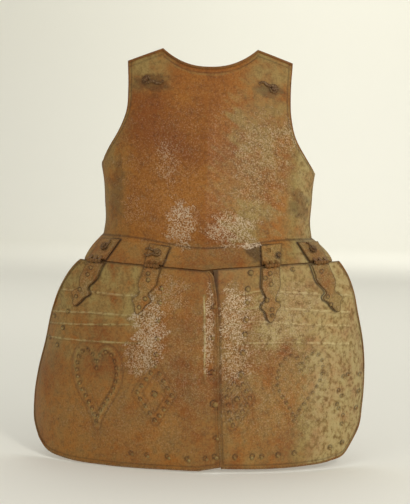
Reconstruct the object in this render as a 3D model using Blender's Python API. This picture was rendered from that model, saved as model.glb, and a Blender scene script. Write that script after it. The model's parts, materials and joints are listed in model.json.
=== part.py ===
"""Breastplate of a pikeman's cuirass with its waist flange and two hinged tassets.

Metres, +Z up, the front of the breastplate towards -Y and the wearer's left towards +X.
The origin lies on the inner face of the chest, on the centre line, level with the lower
corners of the armholes, which is where the plate rests on the wearer.
"""

import math

import bmesh
import bpy
import numpy as np
from mathutils import Matrix, Vector

# Driving sizes, in metres
CHEST_HALF = 0.180          # half the width between the lower corners of the armholes
SHOULDER_RISE = 0.1955      # from those corners up to the inner tips of the shoulders
WAIST_DROP = 0.130          # from those corners down to the waist crease at the centre
CHEST_DEPTH = 0.075         # from the front of the chest back to the side borders
PLATE = 0.0020              # thickness of the breastplate
RIDGE_HEIGHT = 0.004        # how far the medial ridge stands out
ROLL_RADIUS = 0.0024        # rolled edges at the neck and the armholes

FLANGE_HALF = {-1: 0.201, 1: 0.209}   # half-widths at the lower edge, wearer's right and left
FLANGE_RISE = {-1: 0.010, 1: 0.016}   # how much higher its ends are than its centre
FLANGE_DROP = 0.036         # from the waist crease down to its lower edge, at the centre
FLANGE_FRONT = -0.040       # how far forward its lower edge comes at the centre
FLANGE_DEPTH = 0.0946       # depth of the plan curve of its lower edge
FLANGE_MARGIN = 0.0230      # how far past its wider end this plan curve would reach full depth
FLANGE_HOLLOW = 0.0025      # how hollow it is between the waist crease and its lower edge

FLANGE_SPAN = max(FLANGE_HALF.values()) + FLANGE_MARGIN
TASSET_DROP = 0.335         # height of a tasset
TASSET_BEYOND = {-1: 0.0087, 1: 0.0120}   # how far its top corner lies past the flange's end
TASSET_SPREAD = 0.290       # half-width of the tassets at their widest
TASSET_PLATE = 0.0018
TASSET_STEP = 0.0034        # from the face of the flange out to the face of a tasset
TASSET_FLARE = 0.018        # how far the front of a tasset leans out below its hinges
TASSET_WRAP = 0.184         # depth of the plan curve at its lower edge
TASSET_ROLL = 0.0017
TASSET_GAP = 0.001          # between the lower edge of the flange and the top of a tasset
TASSET_BLEND = 0.14         # share of its height in which a tasset leaves the flange's curve
OVERLAP_LIFT = 0.0043       # how far the right tasset stands forward of the left one

GAP = 0.0003                # between pieces that touch on the real object
SEAT_GAP = 0.0007           # under a hinge plate, whose facets cross those of the sheet
LEAF_PLATE = 0.0018
LEAF_HEIGHT = 0.034
STRAP_PLATE = 0.0016
LEAF_FOOT = 0.0075          # from the hinge pin up to the foot of a leaf's flat plate
STRAP_HEAD = 0.0052         # from the hinge pin down to the head of a strap's flat plate
LEAF_REACH = 0.042          # distance up the flange that counts as its whole level
FINGER_PLATE = 0.0012       # the tongues that join the plates to their knuckles
FINGER_OUT = 0.00232        # from the pin to the middle of such a tongue
FINGER_KNEE = 0.0036        # how high above the pin a leaf's tongue bends
BARREL_OUT = 0.0082         # from the face of the flange out to the hinge pin
BARREL_RADIUS = 0.0030
BORE_RADIUS = 0.00165
PIN_RADIUS = 0.0013
KNUCKLE = 0.0046            # length of one knuckle
KNUCKLE_GAP = 0.0004
KNUCKLES = 5

STUD_RADIUS = 0.0022
STUD_HEAD = 0.0038
HOOK_WIDTH = 0.0030
HOOK_PLATE = 0.0022
HOOK_LIFT = 0.0010          # under a turning hook, so that it clears the hollow of its leaf
HOOK_PLAY = 0.00035         # between a hook and its stud, round and above

# Outline of a side border: drop as a share of WAIST_DROP, half-width as a share of CHEST_HALF
SIDE_ROWS = (
    (0.00, 1.000),
    (0.18, 0.979),
    (0.45, 0.966),
    (0.70, 0.957),
    (0.88, 0.974),
)
# Outline of the armholes: rise as a share of SHOULDER_RISE, then half-widths as shares of
# CHEST_HALF on the wearer's right and left
ARMHOLE_ROWS = (
    (0.00, 1.000, 1.000),
    (0.13, 0.928, 0.904),
    (0.28, 0.832, 0.806),
    (0.45, 0.762, 0.757),
    (0.65, 0.750, 0.746),
    (0.89, 0.762, 0.758),
)
# Front line of the breastplate: height as a share of SHOULDER_RISE, distance forward of the
# chest as a share of CHEST_DEPTH
FRONT_ROWS = (
    (-0.67, 0.13),
    (-0.52, 0.22),
    (-0.36, 0.235),
    (-0.18, 0.15),
    (0.00, 0.027),
    (0.30, -0.10),
    (0.60, -0.27),
    (0.85, -0.46),
    (1.00, -0.62),
)
# Outer edge of the tassets: drop as a share of TASSET_DROP, then how far it has spread from
# its top corner to TASSET_SPREAD, on the wearer's right and left
TASSET_ROWS = (
    (0.00, 0.000, 0.000),
    (0.03, 0.122, 0.101),
    (0.14, 0.415, 0.349),
    (0.26, 0.610, 0.487),
    (0.44, 0.787, 0.660),
    (0.59, 0.928, 0.702),
    (0.74, 1.000, 0.656),
    (0.85, 0.975, 0.567),
    (0.92, 0.838, 0.370),
)
# Inner edge of the tassets: drop as a share of TASSET_DROP, then distances past the centre
# line on the wearer's right and left. The top corner of the left one is cut back, so that it
# swings clear of the right one.
INNER_ROWS = (
    (0.000, 0.0085, 0.0160),
    (0.026, 0.0160, 0.0177),
    (0.060, 0.0185, 0.0191),
    (0.120, 0.0225, 0.0229),
    (0.190, 0.0250, 0.0251),
    (0.600, 0.0300, 0.0300),
    (1.000, 0.0375, 0.0375),
)
# Lower edge of the tassets: place from the inner to the outer corner, then the drop as a
# share of TASSET_DROP on the wearer's right and left
LOWER_ROWS = (
    (0.00, 0.950, 0.960),
    (0.20, 0.968, 0.975),
    (0.50, 0.985, 0.985),
    (0.75, 0.985, 0.980),
    (0.90, 0.965, 0.960),
    (1.00, 0.920, 0.910),
)
# Strap below its knuckles: distance as a share of its length, half-width as a share of the
# half-width at the knuckles
STRAP_ROWS = (
    (0.00, 1.00),
    (0.20, 1.02),
    (0.36, 1.04),
    (0.46, 0.80),
    (0.54, 0.56),
    (0.60, 0.62),
    (0.66, 1.02),
    (0.73, 1.08),
    (0.79, 0.72),
    (0.87, 0.54),
    (0.95, 0.34),
    (1.00, 0.10),
)
# Hinges: number, place across the flange, sideways lean of the leaf and of the strap for
# each metre of length, length of the strap, and the way its turning hook points, in degrees
# up from the wearer's left
HINGES = (
    (1, -0.1795, -0.62, -0.46, 0.078, 80),
    (2, -0.0825, -0.26, -0.30, 0.080, 170),
    (3, 0.1083, 0.02, 0.02, 0.092, None),
    (4, 0.1870, 0.56, 0.40, 0.084, 150),
)
LEAF_HALF = (0.0150, 0.0165)     # half-widths of a leaf at the knuckles and at its top
STRAP_HALF = 0.0142
STUD_UP = 0.0205                 # from the hinge pin up to a hook's stud
STUMP_PLACE = (0.0122, 0.0140)   # the broken stump on the third leaf: across, and up from the pin
SLOT_PLACE = (-0.0054, 0.0258)   # the slot in the third leaf
SLOT_SIZE = (0.0096, 0.0052)
HOOK_REACH = 0.0130
SHOULDER_REACH = 0.0260
# Shoulder fittings: side, place across and height of the stud, and the way the hook points
SHOULDER_FITTINGS = (
    ("right", -0.1040, 0.1420, 4),
    ("left", 0.1060, 0.1310, 176),
)


def clear_scene():
    """Remove every object, so that the script starts from nothing."""
    for obj in list(bpy.data.objects):
        bpy.data.objects.remove(obj, do_unlink=True)


FINISHES = {
    "rusted_sheet": ((0.30, 0.15, 0.07), 0.62, 0.55),
    "rusted_fittings": ((0.26, 0.14, 0.07), 0.62, 0.55),
    "dark_iron": ((0.13, 0.075, 0.045), 0.60, 0.60),
}


def metal(name):
    """A plain rusted metal finish of its own for each piece."""
    colour, roughness, metallic = FINISHES[name]
    material = bpy.data.materials.new(name)
    material.use_nodes = True
    shader = material.node_tree.nodes["Principled BSDF"]
    shader.inputs["Base Color"].default_value = (*colour, 1.0)
    shader.inputs["Roughness"].default_value = roughness
    shader.inputs["Metallic"].default_value = metallic
    return material


def smooth_table(places, rows, column):
    """Read a smooth curve through one column of a table, by cubic Hermite pieces."""
    table = np.array(rows)
    x = table[:, 0]
    y = table[:, column]
    places = np.clip(np.asarray(places, float), x[0], x[-1])
    slope = np.gradient(y, x)
    k = np.clip(np.searchsorted(x, places, side="right") - 1, 0, len(x) - 2)
    step = x[k + 1] - x[k]
    t = (places - x[k]) / step
    return (
        (2 * t**3 - 3 * t**2 + 1) * y[k]
        + (t**3 - 2 * t**2 + t) * step * slope[k]
        + (3 * t**2 - 2 * t**3) * y[k + 1]
        + (t**3 - t**2) * step * slope[k + 1]
    )


def ease(t):
    """Go smoothly from 0 to 1 while t does."""
    t = np.clip(t, 0.0, 1.0)
    return t * t * (3.0 - 2.0 * t)


def plan_curve(share, width_power, depth_power):
    """Depth, from 0 at the front to 1 at the side, of a plan section at a share of its width."""
    share = np.clip(np.abs(share), 0.0, 1.0)
    return 1.0 - (1.0 - share**width_power) ** (1.0 / depth_power)


# The breastplate

EDGE_ANGLE = math.radians(78)    # how far round its plan section the side borders lie


def torso_half(z):
    """Half-width of the full plan section at a height."""
    below = CHEST_HALF * smooth_table(-np.minimum(z, 0.0) / WAIST_DROP, SIDE_ROWS, 1)
    return below / math.sin(EDGE_ANGLE) * (1.0 - 0.04 * ease(z / SHOULDER_RISE))


def torso_y(x, z):
    """Depth of the face of the breastplate above the waist crease."""
    front = -CHEST_DEPTH * smooth_table(z / SHOULDER_RISE, FRONT_ROWS, 1)
    depth = (CHEST_DEPTH - front) / plan_curve(math.sin(EDGE_ANGLE), 2.0, 2.0)
    fade = ease((0.65 - z / SHOULDER_RISE) / 0.4)
    ridge = RIDGE_HEIGHT * np.clip(1.0 - np.abs(x) / (0.3 * CHEST_HALF), 0.0, 1.0) ** 2
    return front + depth * plan_curve(x / torso_half(z), 2.0, 2.0) - ridge * fade


def torso_point(x, z):
    return np.stack(np.broadcast_arrays(x, torso_y(x, z), z), -1)


def crease_z(across):
    """Height of the waist crease, from -1 to 1 across the waist."""
    return -WAIST_DROP + 0.12 * WAIST_DROP * ease(np.abs(across) / 0.82)


def crease_half():
    return CHEST_HALF * SIDE_ROWS[-1][1]


def crease_point(across):
    return torso_point(crease_half() * across, crease_z(across))


def flange_edge_z(x):
    """Height of the lower edge of the waist flange."""
    side = np.where(x < 0, -1, 1)
    half = np.where(side < 0, FLANGE_HALF[-1], FLANGE_HALF[1])
    rise = np.where(side < 0, FLANGE_RISE[-1], FLANGE_RISE[1])
    return -WAIST_DROP - FLANGE_DROP + rise * (np.abs(x) / half) ** 0.8


def flange_edge_y(x):
    return FLANGE_FRONT + FLANGE_DEPTH * plan_curve(x / FLANGE_SPAN, 1.6, 1.2)


def flange_point(across, up):
    """Point on the face of the flange, from 0 at its lower edge to 1 at the waist crease."""
    across, up = np.broadcast_arrays(np.asarray(across, float), np.asarray(up, float))
    half = np.where(across < 0, FLANGE_HALF[-1], FLANGE_HALF[1])
    x = half * across
    low = np.stack([x, flange_edge_y(x), flange_edge_z(x)], -1)
    point = low + (crease_point(across) - low) * up[..., None]
    point[..., 0] = flange_half(across, up) * across
    point[..., 1] += FLANGE_HOLLOW * np.sin(np.pi * up)
    return point


def flange_half(across, up):
    """Half-width of the flange at a level: it spreads fastest just below the waist."""
    low = np.where(across < 0, FLANGE_HALF[-1], FLANGE_HALF[1])
    return low + (crease_half() - low) * up**1.5


def coons(left, right, bottom, top):
    """Fill a grid between four edge curves: rows go from bottom to top, columns left to right."""
    rows = len(left)
    columns = len(bottom)
    v = np.linspace(0, 1, rows)[:, None, None]
    u = np.linspace(0, 1, columns)[None, :, None]
    sides = (1 - u) * left[:, None] + u * right[:, None]
    ends = (1 - v) * bottom[None] + v * top[None]
    corners = (
        (1 - u) * (1 - v) * left[0] + u * (1 - v) * right[0] + (1 - u) * v * left[-1] + u * v * right[-1]
    )
    return sides + ends - corners


def torso_grid():
    """The face of the breastplate above the waist, as rows of points from the waist up."""
    below, above, half_columns, tip_column = 7, 11, 14, 8
    across = np.linspace(-1, 1, 2 * half_columns + 1)
    edges = []
    for column, side, corner in ((1, -1, 0.005), (2, 1, -0.009)):
        low = crease_z(side)
        side_z = np.linspace(low, corner, below + 1)
        side_x = CHEST_HALF * smooth_table(-np.minimum(side_z, 0) / WAIST_DROP, SIDE_ROWS, 1)
        share = np.linspace(0, ARMHOLE_ROWS[-1][0], above + 1)[1:]
        hole_z = corner + share / ARMHOLE_ROWS[-1][0] * (SHOULDER_RISE * ARMHOLE_ROWS[-1][0] - corner)
        hole_x = CHEST_HALF * smooth_table(share, ARMHOLE_ROWS, column)
        x = side * np.concatenate([side_x, hole_x])
        z = np.concatenate([side_z, hole_z])
        edges.append(np.stack([np.arcsin(x / torso_half(z)), z], -1))
    left, right = edges
    tip = SHOULDER_RISE
    neck = 0.845 * SHOULDER_RISE
    corner_x = CHEST_HALF * ARMHOLE_ROWS[-1][1]
    tip_x = corner_x * tip_column / half_columns
    x = corner_x * across
    scoop = neck + (tip - neck) * (np.abs(x) / tip_x) ** 2.3
    slope = tip + (left[-1, 1] - tip) * (np.abs(x) - tip_x) / (corner_x - tip_x)
    z = np.where(np.abs(x) <= tip_x * 1.001, scoop, slope)
    top = np.stack([np.arcsin(x / torso_half(z)), z], -1)
    angle = across * math.asin(crease_half() / torso_half(crease_z(1.0)))
    share = np.sin(angle) / math.sin(angle[-1])
    z = crease_z(share)
    bottom = np.stack([np.arcsin(crease_half() * share / torso_half(z)), z], -1)
    top[0], top[-1] = left[-1], right[-1]
    bottom[0], bottom[-1] = left[0], right[0]
    grid = coons(left, right, bottom, top)
    z = grid[..., 1]
    return torso_point(torso_half(z) * np.sin(grid[..., 0]), z), share


def grid_normals(points):
    """Unit normals of a grid whose rows go up and whose columns go to the wearer's left."""
    along = np.gradient(points, axis=1)
    up = np.gradient(points, axis=0)
    normal = np.cross(along, up)
    return normal / np.linalg.norm(normal, axis=-1, keepdims=True)


def ring_of(rows, columns):
    """Row and column numbers round the border of a grid, anticlockwise from its first corner."""
    ring = [(0, c) for c in range(columns)]
    ring += [(r, columns - 1) for r in range(1, rows)]
    ring += [(rows - 1, c) for c in range(columns - 2, -1, -1)]
    ring += [(r, 0) for r in range(rows - 2, 0, -1)]
    return ring


def sheet_mesh(name, points, thickness, rolls, roll_radius):
    """A closed sheet behind a grid of points, with a round roll along chosen borders.

    rolls says which borders are rolled out: bottom, right, top and left. A rolled border is
    a bead whose cross-section is a circle that stands forward of the face.
    """
    rows, columns = points.shape[:2]
    normal = grid_normals(points)
    ring = ring_of(rows, columns)
    outer = points.copy()
    inner = points - normal * thickness
    rolled = {
        "bottom": lambda r, c: r == 0,
        "right": lambda r, c: c == columns - 1,
        "top": lambda r, c: r == rows - 1,
        "left": lambda r, c: c == 0,
    }
    bands = []
    turns = np.radians((150, 100, 50, 0, -45))
    for number, (r, c) in enumerate(ring):
        before = points[ring[number - 1]]
        after = points[ring[(number + 1) % len(ring)]]
        face = normal[r, c]
        out = np.cross(after - before, face)
        out /= np.linalg.norm(out)
        here = points[r, c]
        bead = 1.0 if any(rolled[side](r, c) for side in rolls) else 0.0
        radius = roll_radius * bead
        outer[r, c] = here - out * radius * 1.9
        inner[r, c] = here - face * thickness - out * radius
        centre = here - out * radius + face * (radius - thickness)
        flat = [here - face * thickness * (k + 1) / (len(turns) + 1) for k in range(len(turns))]
        round_ = [centre + radius * (math.cos(a) * out + math.sin(a) * face) for a in turns]
        bands.append([bead * p + (1 - bead) * q for p, q in zip(round_, flat)])
    return close_sheet(name, outer, inner, ring, bands)


def close_sheet(name, outer, inner, ring, bands):
    """Join the two faces of a sheet and the bands of points between them into one body."""
    rows, columns = outer.shape[:2]
    mesh = bmesh.new()
    front = [[mesh.verts.new(outer[r, c]) for c in range(columns)] for r in range(rows)]
    back = [[mesh.verts.new(inner[r, c]) for c in range(columns)] for r in range(rows)]
    for r in range(rows - 1):
        for c in range(columns - 1):
            mesh.faces.new((front[r][c], front[r][c + 1], front[r + 1][c + 1], front[r + 1][c]))
            mesh.faces.new((back[r][c], back[r + 1][c], back[r + 1][c + 1], back[r][c + 1]))
    strips = []
    for (r, c), band in zip(ring, bands):
        strips.append([front[r][c], *[mesh.verts.new(p) for p in band], back[r][c]])
    for one, two in zip(strips, strips[1:] + strips[:1]):
        for k in range(len(one) - 1):
            mesh.faces.new((one[k], one[k + 1], two[k + 1], two[k]))
    return finish_mesh(name, mesh)


def finish_mesh(name, mesh):
    bmesh.ops.recalc_face_normals(mesh, faces=mesh.faces[:])
    data = bpy.data.meshes.new(name)
    mesh.to_mesh(data)
    mesh.free()
    return data


def slab_mesh(name, outer, inner):
    """A closed patch between two grids of points of the same size."""
    ring = ring_of(*outer.shape[:2])
    return close_sheet(name, outer, inner, ring, [[] for _ in ring])


def place(name, data, material, origin=(0.0, 0.0, 0.0), sharp=35):
    """Make the named object of a mesh given in world points, with its own origin."""
    origin = Vector(origin)
    data.name = name
    data.transform(Matrix.Translation(-origin))
    data.materials.clear()
    data.materials.append(material)
    data.shade_smooth()
    data.set_sharp_from_angle(angle=math.radians(sharp))
    obj = bpy.data.objects.new(name, data)
    obj.location = origin
    bpy.context.scene.collection.objects.link(obj)
    return obj


def fuse(name, meshes, operation="UNION"):
    """Join closed meshes into one body, or cut the later ones out of the first."""
    parts = []
    for number, data in enumerate(meshes):
        part = bpy.data.objects.new(f"{name}_{number}", data)
        bpy.context.scene.collection.objects.link(part)
        parts.append(part)
    for tool in parts[1:]:
        modifier = parts[0].modifiers.new(tool.name, "BOOLEAN")
        modifier.operation = operation
        modifier.solver = "EXACT"
        modifier.object = tool
    view = bpy.context.evaluated_depsgraph_get()
    data = bpy.data.meshes.new_from_object(parts[0].evaluated_get(view))
    for part in parts:
        bpy.data.objects.remove(part, do_unlink=True)
    return data


def breastplate(material):
    """Chest, belly and waist flange in one sheet, rolled at the neck and the armholes."""
    torso, share = torso_grid()
    flange_rows = 4
    ups = np.linspace(0, 1, flange_rows + 1)[:-1]
    flange = flange_point(share[None, :], ups[:, None])
    points = np.concatenate([flange, torso])
    data = sheet_mesh("breastplate", points, PLATE, ("top",), ROLL_RADIUS)
    return place("breastplate", data, material)


# The tassets

TASSET_TURN = math.radians(80)     # how far round its plan section a tasset's outer edge lies
TASSET_LIMIT = math.radians(87)    # the furthest that it may lie near the flange


def tasset_edge(drop, side):
    """Distance from the centre line out to the free edge of a tasset."""
    top = FLANGE_HALF[side] + TASSET_BEYOND[side]
    return top + (TASSET_SPREAD - top) * smooth_table(drop, TASSET_ROWS, 1 if side < 0 else 2)


def tasset_half(drop, side):
    """Half-width of the full plan section of a tasset at a drop below its top."""
    places = np.linspace(0, TASSET_ROWS[-1][0], 101)
    width = np.interp(drop, places, np.maximum.accumulate(tasset_edge(places, side)))
    full = width / math.sin(TASSET_TURN)
    blend = FLANGE_SPAN + (full - FLANGE_SPAN) * np.clip(drop / TASSET_BLEND, 0.0, 1.0)
    return np.maximum(blend, width / math.sin(TASSET_LIMIT))


def tasset_y(x, drop, side):
    """Depth of the face of a tasset at a place across and a drop below its top edge."""
    x, drop = np.broadcast_arrays(np.asarray(x, float), np.asarray(drop, float))
    turn = ease(drop / 0.5)
    front = FLANGE_FRONT - TASSET_STEP - TASSET_FLARE * (1.0 - (1.0 - np.clip(drop, 0, 1)) ** 2.4)
    depth = FLANGE_DEPTH + (TASSET_WRAP - FLANGE_DEPTH) * turn
    share = x / tasset_half(drop, side)
    y = front + depth * plan_curve(share, 1.6 + 0.2 * turn, 1.2 + 0.8 * turn)
    if side < 0:
        y = y - OVERLAP_LIFT * ease((x + 0.060) / 0.060)
    return y


def tasset_point(x, drop, side):
    """Point on the face of a tasset."""
    x, drop = np.broadcast_arrays(np.asarray(x, float), np.asarray(drop, float))
    z = flange_edge_z(x) - TASSET_GAP - drop * TASSET_DROP
    return np.stack([x, tasset_y(x, drop, side), z], -1)


def tasset_grid(side):
    """The face of a tasset: rows from its lower edge up, columns from right to left."""
    rows, columns = 17, 19
    column = 1 if side < 0 else 2
    t = np.linspace(0, 1, columns)
    low = smooth_table(t, LOWER_ROWS, column)
    inner_drop = np.linspace(low[0], 0, rows)
    outer_drop = np.linspace(low[-1], 0, rows)
    inner_x = smooth_table(inner_drop, INNER_ROWS, column)
    outer_x = side * tasset_edge(outer_drop, side)
    inner = np.stack([np.arcsin(inner_x / tasset_half(inner_drop, side)), inner_drop], -1)
    outer = np.stack([np.arcsin(outer_x / tasset_half(outer_drop, side)), outer_drop], -1)
    across = (1 - t) * inner[0, 0] + t * outer[0, 0]
    bottom = np.stack([across, low], -1)
    top = np.stack([(1 - t) * inner[-1, 0] + t * outer[-1, 0], np.zeros(columns)], -1)
    grid = coons(inner, outer, bottom, top)
    if side < 0:
        grid = grid[:, ::-1]
    drop = np.maximum(grid[..., 1], 0.0)
    x = tasset_half(drop, side) * np.sin(grid[..., 0])
    return tasset_point(x, drop, side)


def tasset(side, material, origin):
    name = "tasset_right" if side < 0 else "tasset_left"
    rolls = ("bottom", "left", "right") if side < 0 else ("bottom", "right")
    data = sheet_mesh(name, tasset_grid(side), TASSET_PLATE, rolls, TASSET_ROLL)
    return place(name, data, material, origin)


# The hinges


def flange_normal(x):
    """Level direction out of the flange at its lower edge."""
    step = 0.001
    slope = (flange_edge_y(x + step) - flange_edge_y(x - step)) / (2 * step)
    return Vector((slope, -1.0, 0.0)).normalized()


def barrel_centre(x):
    edge = Vector((x, float(flange_edge_y(x)), float(flange_edge_z(x))))
    return edge + flange_normal(x) * BARREL_OUT


def hinge_axis(side):
    """The straight line through both hinges of a tasset: its middle and its direction."""
    ends = [barrel_centre(place_x) for _, place_x, *_ in HINGES if place_x * side > 0]
    direction = (ends[1] - ends[0]).normalized()
    return (ends[0] + ends[1]) / 2, direction


def cylinder(centre, direction, radius, length, sides=10):
    """A closed prism about an axis."""
    mesh = bmesh.new()
    bmesh.ops.create_cone(
        mesh, cap_ends=True, segments=sides, radius1=radius, radius2=radius, depth=length
    )
    turn = Vector((0, 0, 1)).rotation_difference(Vector(direction)).to_matrix().to_4x4()
    bmesh.ops.transform(mesh, matrix=Matrix.Translation(centre) @ turn, verts=mesh.verts[:])
    return finish_mesh("cylinder", mesh)


def tube(centre, direction, outer, bore, length, sides=10):
    """A round knuckle with a hole through it."""
    turn = Vector((0, 0, 1)).rotation_difference(Vector(direction))
    mesh = bmesh.new()
    rings = []
    for radius, along in ((outer, -1), (outer, 1), (bore, 1), (bore, -1)):
        ring = []
        for k in range(sides):
            angle = 2 * math.pi * k / sides
            local = Vector((radius * math.cos(angle), radius * math.sin(angle), along * length / 2))
            ring.append(mesh.verts.new(Vector(centre) + turn @ local))
        rings.append(ring)
    for one, two in zip(rings, rings[1:] + rings[:1]):
        for k in range(sides):
            mesh.faces.new((one[k - 1], one[k], two[k], two[k - 1]))
    return finish_mesh("tube", mesh)


def knuckle_places(first):
    """Places along the pin of every other knuckle, starting from the first or the second."""
    pitch = KNUCKLE + KNUCKLE_GAP
    start = -pitch * (KNUCKLES - 1) / 2
    return [start + pitch * k for k in range(first, KNUCKLES, 2)]


def finger(centre, along, stations, width):
    """A tongue from a plate to a knuckle: stations are pairs of inner and outer offsets."""
    outer = []
    inner = []
    for low, high in stations:
        inner.append([centre + along * s + low for s in (-width / 2, width / 2)])
        outer.append([centre + along * s + high for s in (-width / 2, width / 2)])
    return slab_mesh("finger", np.array(outer), np.array(inner))


def slot_cutter(centre, x, lean):
    """A block through a leaf's plate where its slot is."""
    across, height = SLOT_PLACE
    point, normal = flange_frame(x - lean * height + across, height / LEAF_REACH)
    normal = Vector(normal)
    level = normal.cross(Vector((0, 0, 1))).normalized()
    rising = normal.cross(level)
    mesh = bmesh.new()
    bmesh.ops.create_cube(mesh, size=1.0)
    frame = Matrix((level * SLOT_SIZE[0], rising * SLOT_SIZE[1], normal * 4 * LEAF_PLATE)).transposed()
    bmesh.ops.transform(mesh, matrix=Matrix.Translation(point) @ frame.to_4x4(), verts=mesh.verts[:])
    return finish_mesh("cutter", mesh)


def hinge_leaf(number, x, lean, axis, material, slotted=False):
    """Upper leaf on the flange: a bent plate with the odd knuckles round the pin."""
    along = axis[1]
    centre = barrel_on_axis(x, axis)
    out = flange_normal(x)
    up = Vector((0, 0, 1))
    rise = np.linspace(0, 1, 6)
    wide = np.linspace(-1, 1, 6)
    points = np.zeros((len(rise), len(wide), 3))
    normals = np.zeros_like(points)
    for r, t in enumerate(rise):
        height = LEAF_FOOT + (LEAF_HEIGHT - LEAF_FOOT) * t
        level = height / LEAF_REACH
        half = LEAF_HALF[0] + (LEAF_HALF[1] - LEAF_HALF[0]) * t
        for c, w in enumerate(wide):
            here = x - lean * height + half * w
            points[r, c], normals[r, c] = flange_frame(here, level)
    outer = points + normals * (SEAT_GAP + LEAF_PLATE)
    inner = points + normals * SEAT_GAP
    plate = slab_mesh("leaf", outer, inner)
    if slotted:
        plate = fuse("slotted", [plate, slot_cutter(centre, x, lean)], "DIFFERENCE")
    parts = [plate]
    half_plate = FINGER_PLATE / 2
    for place_s in knuckle_places(0):
        foot_point = project(points[0], normals[0], centre + along * place_s, along)
        high_point = project(points[1], normals[1], centre + along * place_s, along)
        thick = Vector(normals[0].mean(0)) * half_plate
        base = foot_point - (centre + along * place_s)
        top = high_point - (centre + along * place_s)
        top = base + (top - base) * 0.45
        knee = up * FINGER_KNEE + (base - up * base.z) * 0.35
        crown = up * FINGER_OUT
        stations = (
            (crown - up * half_plate, crown + up * half_plate),
            (knee - (up + out).normalized() * half_plate, knee + (up + out).normalized() * half_plate),
            (base - thick, base + thick),
            (top - thick, top + thick),
        )
        parts.append(finger(centre + along * place_s, along, stations, KNUCKLE))
        parts.append(tube(centre + along * place_s, along, BARREL_RADIUS, BORE_RADIUS, KNUCKLE))
    name = f"hinge_leaf_{number}"
    return place(name, fuse(name, parts), material, centre)


def barrel_on_axis(x, axis):
    """The point of a hinge line nearest to a hinge's own place."""
    middle, along = axis
    own = barrel_centre(x)
    return middle + along * (own - middle).dot(along)


def flange_frame(x, level):
    """Point and unit normal of the flange's face at a place across and a level up it."""

    def at(px, pl):
        return flange_point(px / flange_half(px, pl), pl)

    step = 0.001
    across = at(x + step, level) - at(x - step, level)
    rising = at(x, level + 0.01) - at(x, level - 0.01)
    normal = np.cross(across, rising)
    return at(x, level), normal / np.linalg.norm(normal)


def tasset_frame(x, drop, side):
    """Point and unit normal of the face of a tasset."""
    step = 0.001
    across = tasset_point(x + step, drop, side) - tasset_point(x - step, drop, side)
    rising = tasset_point(x, drop - 0.005, side) - tasset_point(x, drop + 0.005, side)
    normal = np.cross(across, rising)
    return tasset_point(x, drop, side), normal / np.linalg.norm(normal)


def project(row, normals, target, along):
    """The middle of a plate's thickness where a row of its points passes a place on the pin."""
    keys = [(Vector(p) - target).dot(along) for p in row]
    order = np.argsort(keys)
    point = [np.interp(0.0, np.array(keys)[order], row[order, k]) for k in range(3)]
    normal = [np.interp(0.0, np.array(keys)[order], normals[order, k]) for k in range(3)]
    return Vector(point) + Vector(normal) * (SEAT_GAP + LEAF_PLATE / 2)


def hinge_strap(number, x, lean, length, axis, side, material):
    """Lower strap on a tasset: a plate with a trefoil end and the even knuckles."""
    along = axis[1]
    centre = barrel_on_axis(x, axis)
    shares = np.array([row[0] for row in STRAP_ROWS])
    wide = np.linspace(-1, 1, 4)
    points = np.zeros((len(shares), len(wide), 3))
    normals = np.zeros_like(points)
    for r, share in enumerate(shares[::-1]):
        below = STRAP_HEAD + (length - STRAP_HEAD) * share
        half = STRAP_HALF * STRAP_ROWS[len(shares) - 1 - r][1]
        for c, w in enumerate(wide):
            here = x + lean * below + half * w
            points[r, c], normals[r, c] = tasset_frame(here, below / TASSET_DROP, side)
    outer = points + normals * (SEAT_GAP + STRAP_PLATE)
    inner = points + normals * SEAT_GAP
    parts = [slab_mesh("strap", outer, inner)]
    half_plate = FINGER_PLATE / 2
    for place_s in knuckle_places(1):
        target = centre + along * place_s
        base = project(points[-1], normals[-1], target, along) - target
        low = project(points[-2], normals[-2], target, along) - target
        low = base + (low - base) * 0.6
        thick = Vector(normals[-1].mean(0)) * half_plate
        level = Vector((thick.x, thick.y, 0)).normalized() * half_plate
        crown = -Vector((thick.x, thick.y, 0)).normalized() * FINGER_OUT
        stations = (
            (low - thick, low + thick),
            (base - thick, base + thick),
            (crown - level, crown + level),
        )
        parts.append(finger(target, along, stations, KNUCKLE))
        parts.append(tube(target, along, BARREL_RADIUS, BORE_RADIUS, KNUCKLE))
    name = f"hinge_strap_{number}"
    return place(name, fuse(name, parts), material, centre)


def hinge_pin(number, x, axis, material):
    centre = barrel_on_axis(x, axis)
    length = KNUCKLES * (KNUCKLE + KNUCKLE_GAP) + 0.002
    data = cylinder(centre, axis[1], PIN_RADIUS, length)
    return place(f"hinge_pin_{number}", data, material, centre)


# The turning hooks


def stud(name, base, normal, shank, material, head=STUD_HEAD, crown=0.0014):
    """A turned stud: a shank with a flat head, standing on a face."""
    profile = ((STUD_RADIUS, 0.0), (STUD_RADIUS, shank), (head, shank), (head, shank + crown))
    return place(name, turned(profile, base, normal), material, base)


def turned(profile, base, normal, sides=12):
    """A closed body of revolution from radius and height pairs."""
    turn = Vector((0, 0, 1)).rotation_difference(Vector(normal))
    mesh = bmesh.new()
    rings = []
    for radius, height in profile:
        ring = []
        for k in range(sides):
            angle = 2 * math.pi * k / sides
            local = Vector((radius * math.cos(angle), radius * math.sin(angle), height))
            ring.append(mesh.verts.new(Vector(base) + turn @ local))
        rings.append(ring)
    for one, two in zip(rings, rings[1:]):
        for k in range(sides):
            mesh.faces.new((one[k - 1], one[k], two[k], two[k - 1]))
    mesh.faces.new(rings[0][::-1])
    mesh.faces.new(rings[-1])
    return finish_mesh("turned", mesh)


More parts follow.
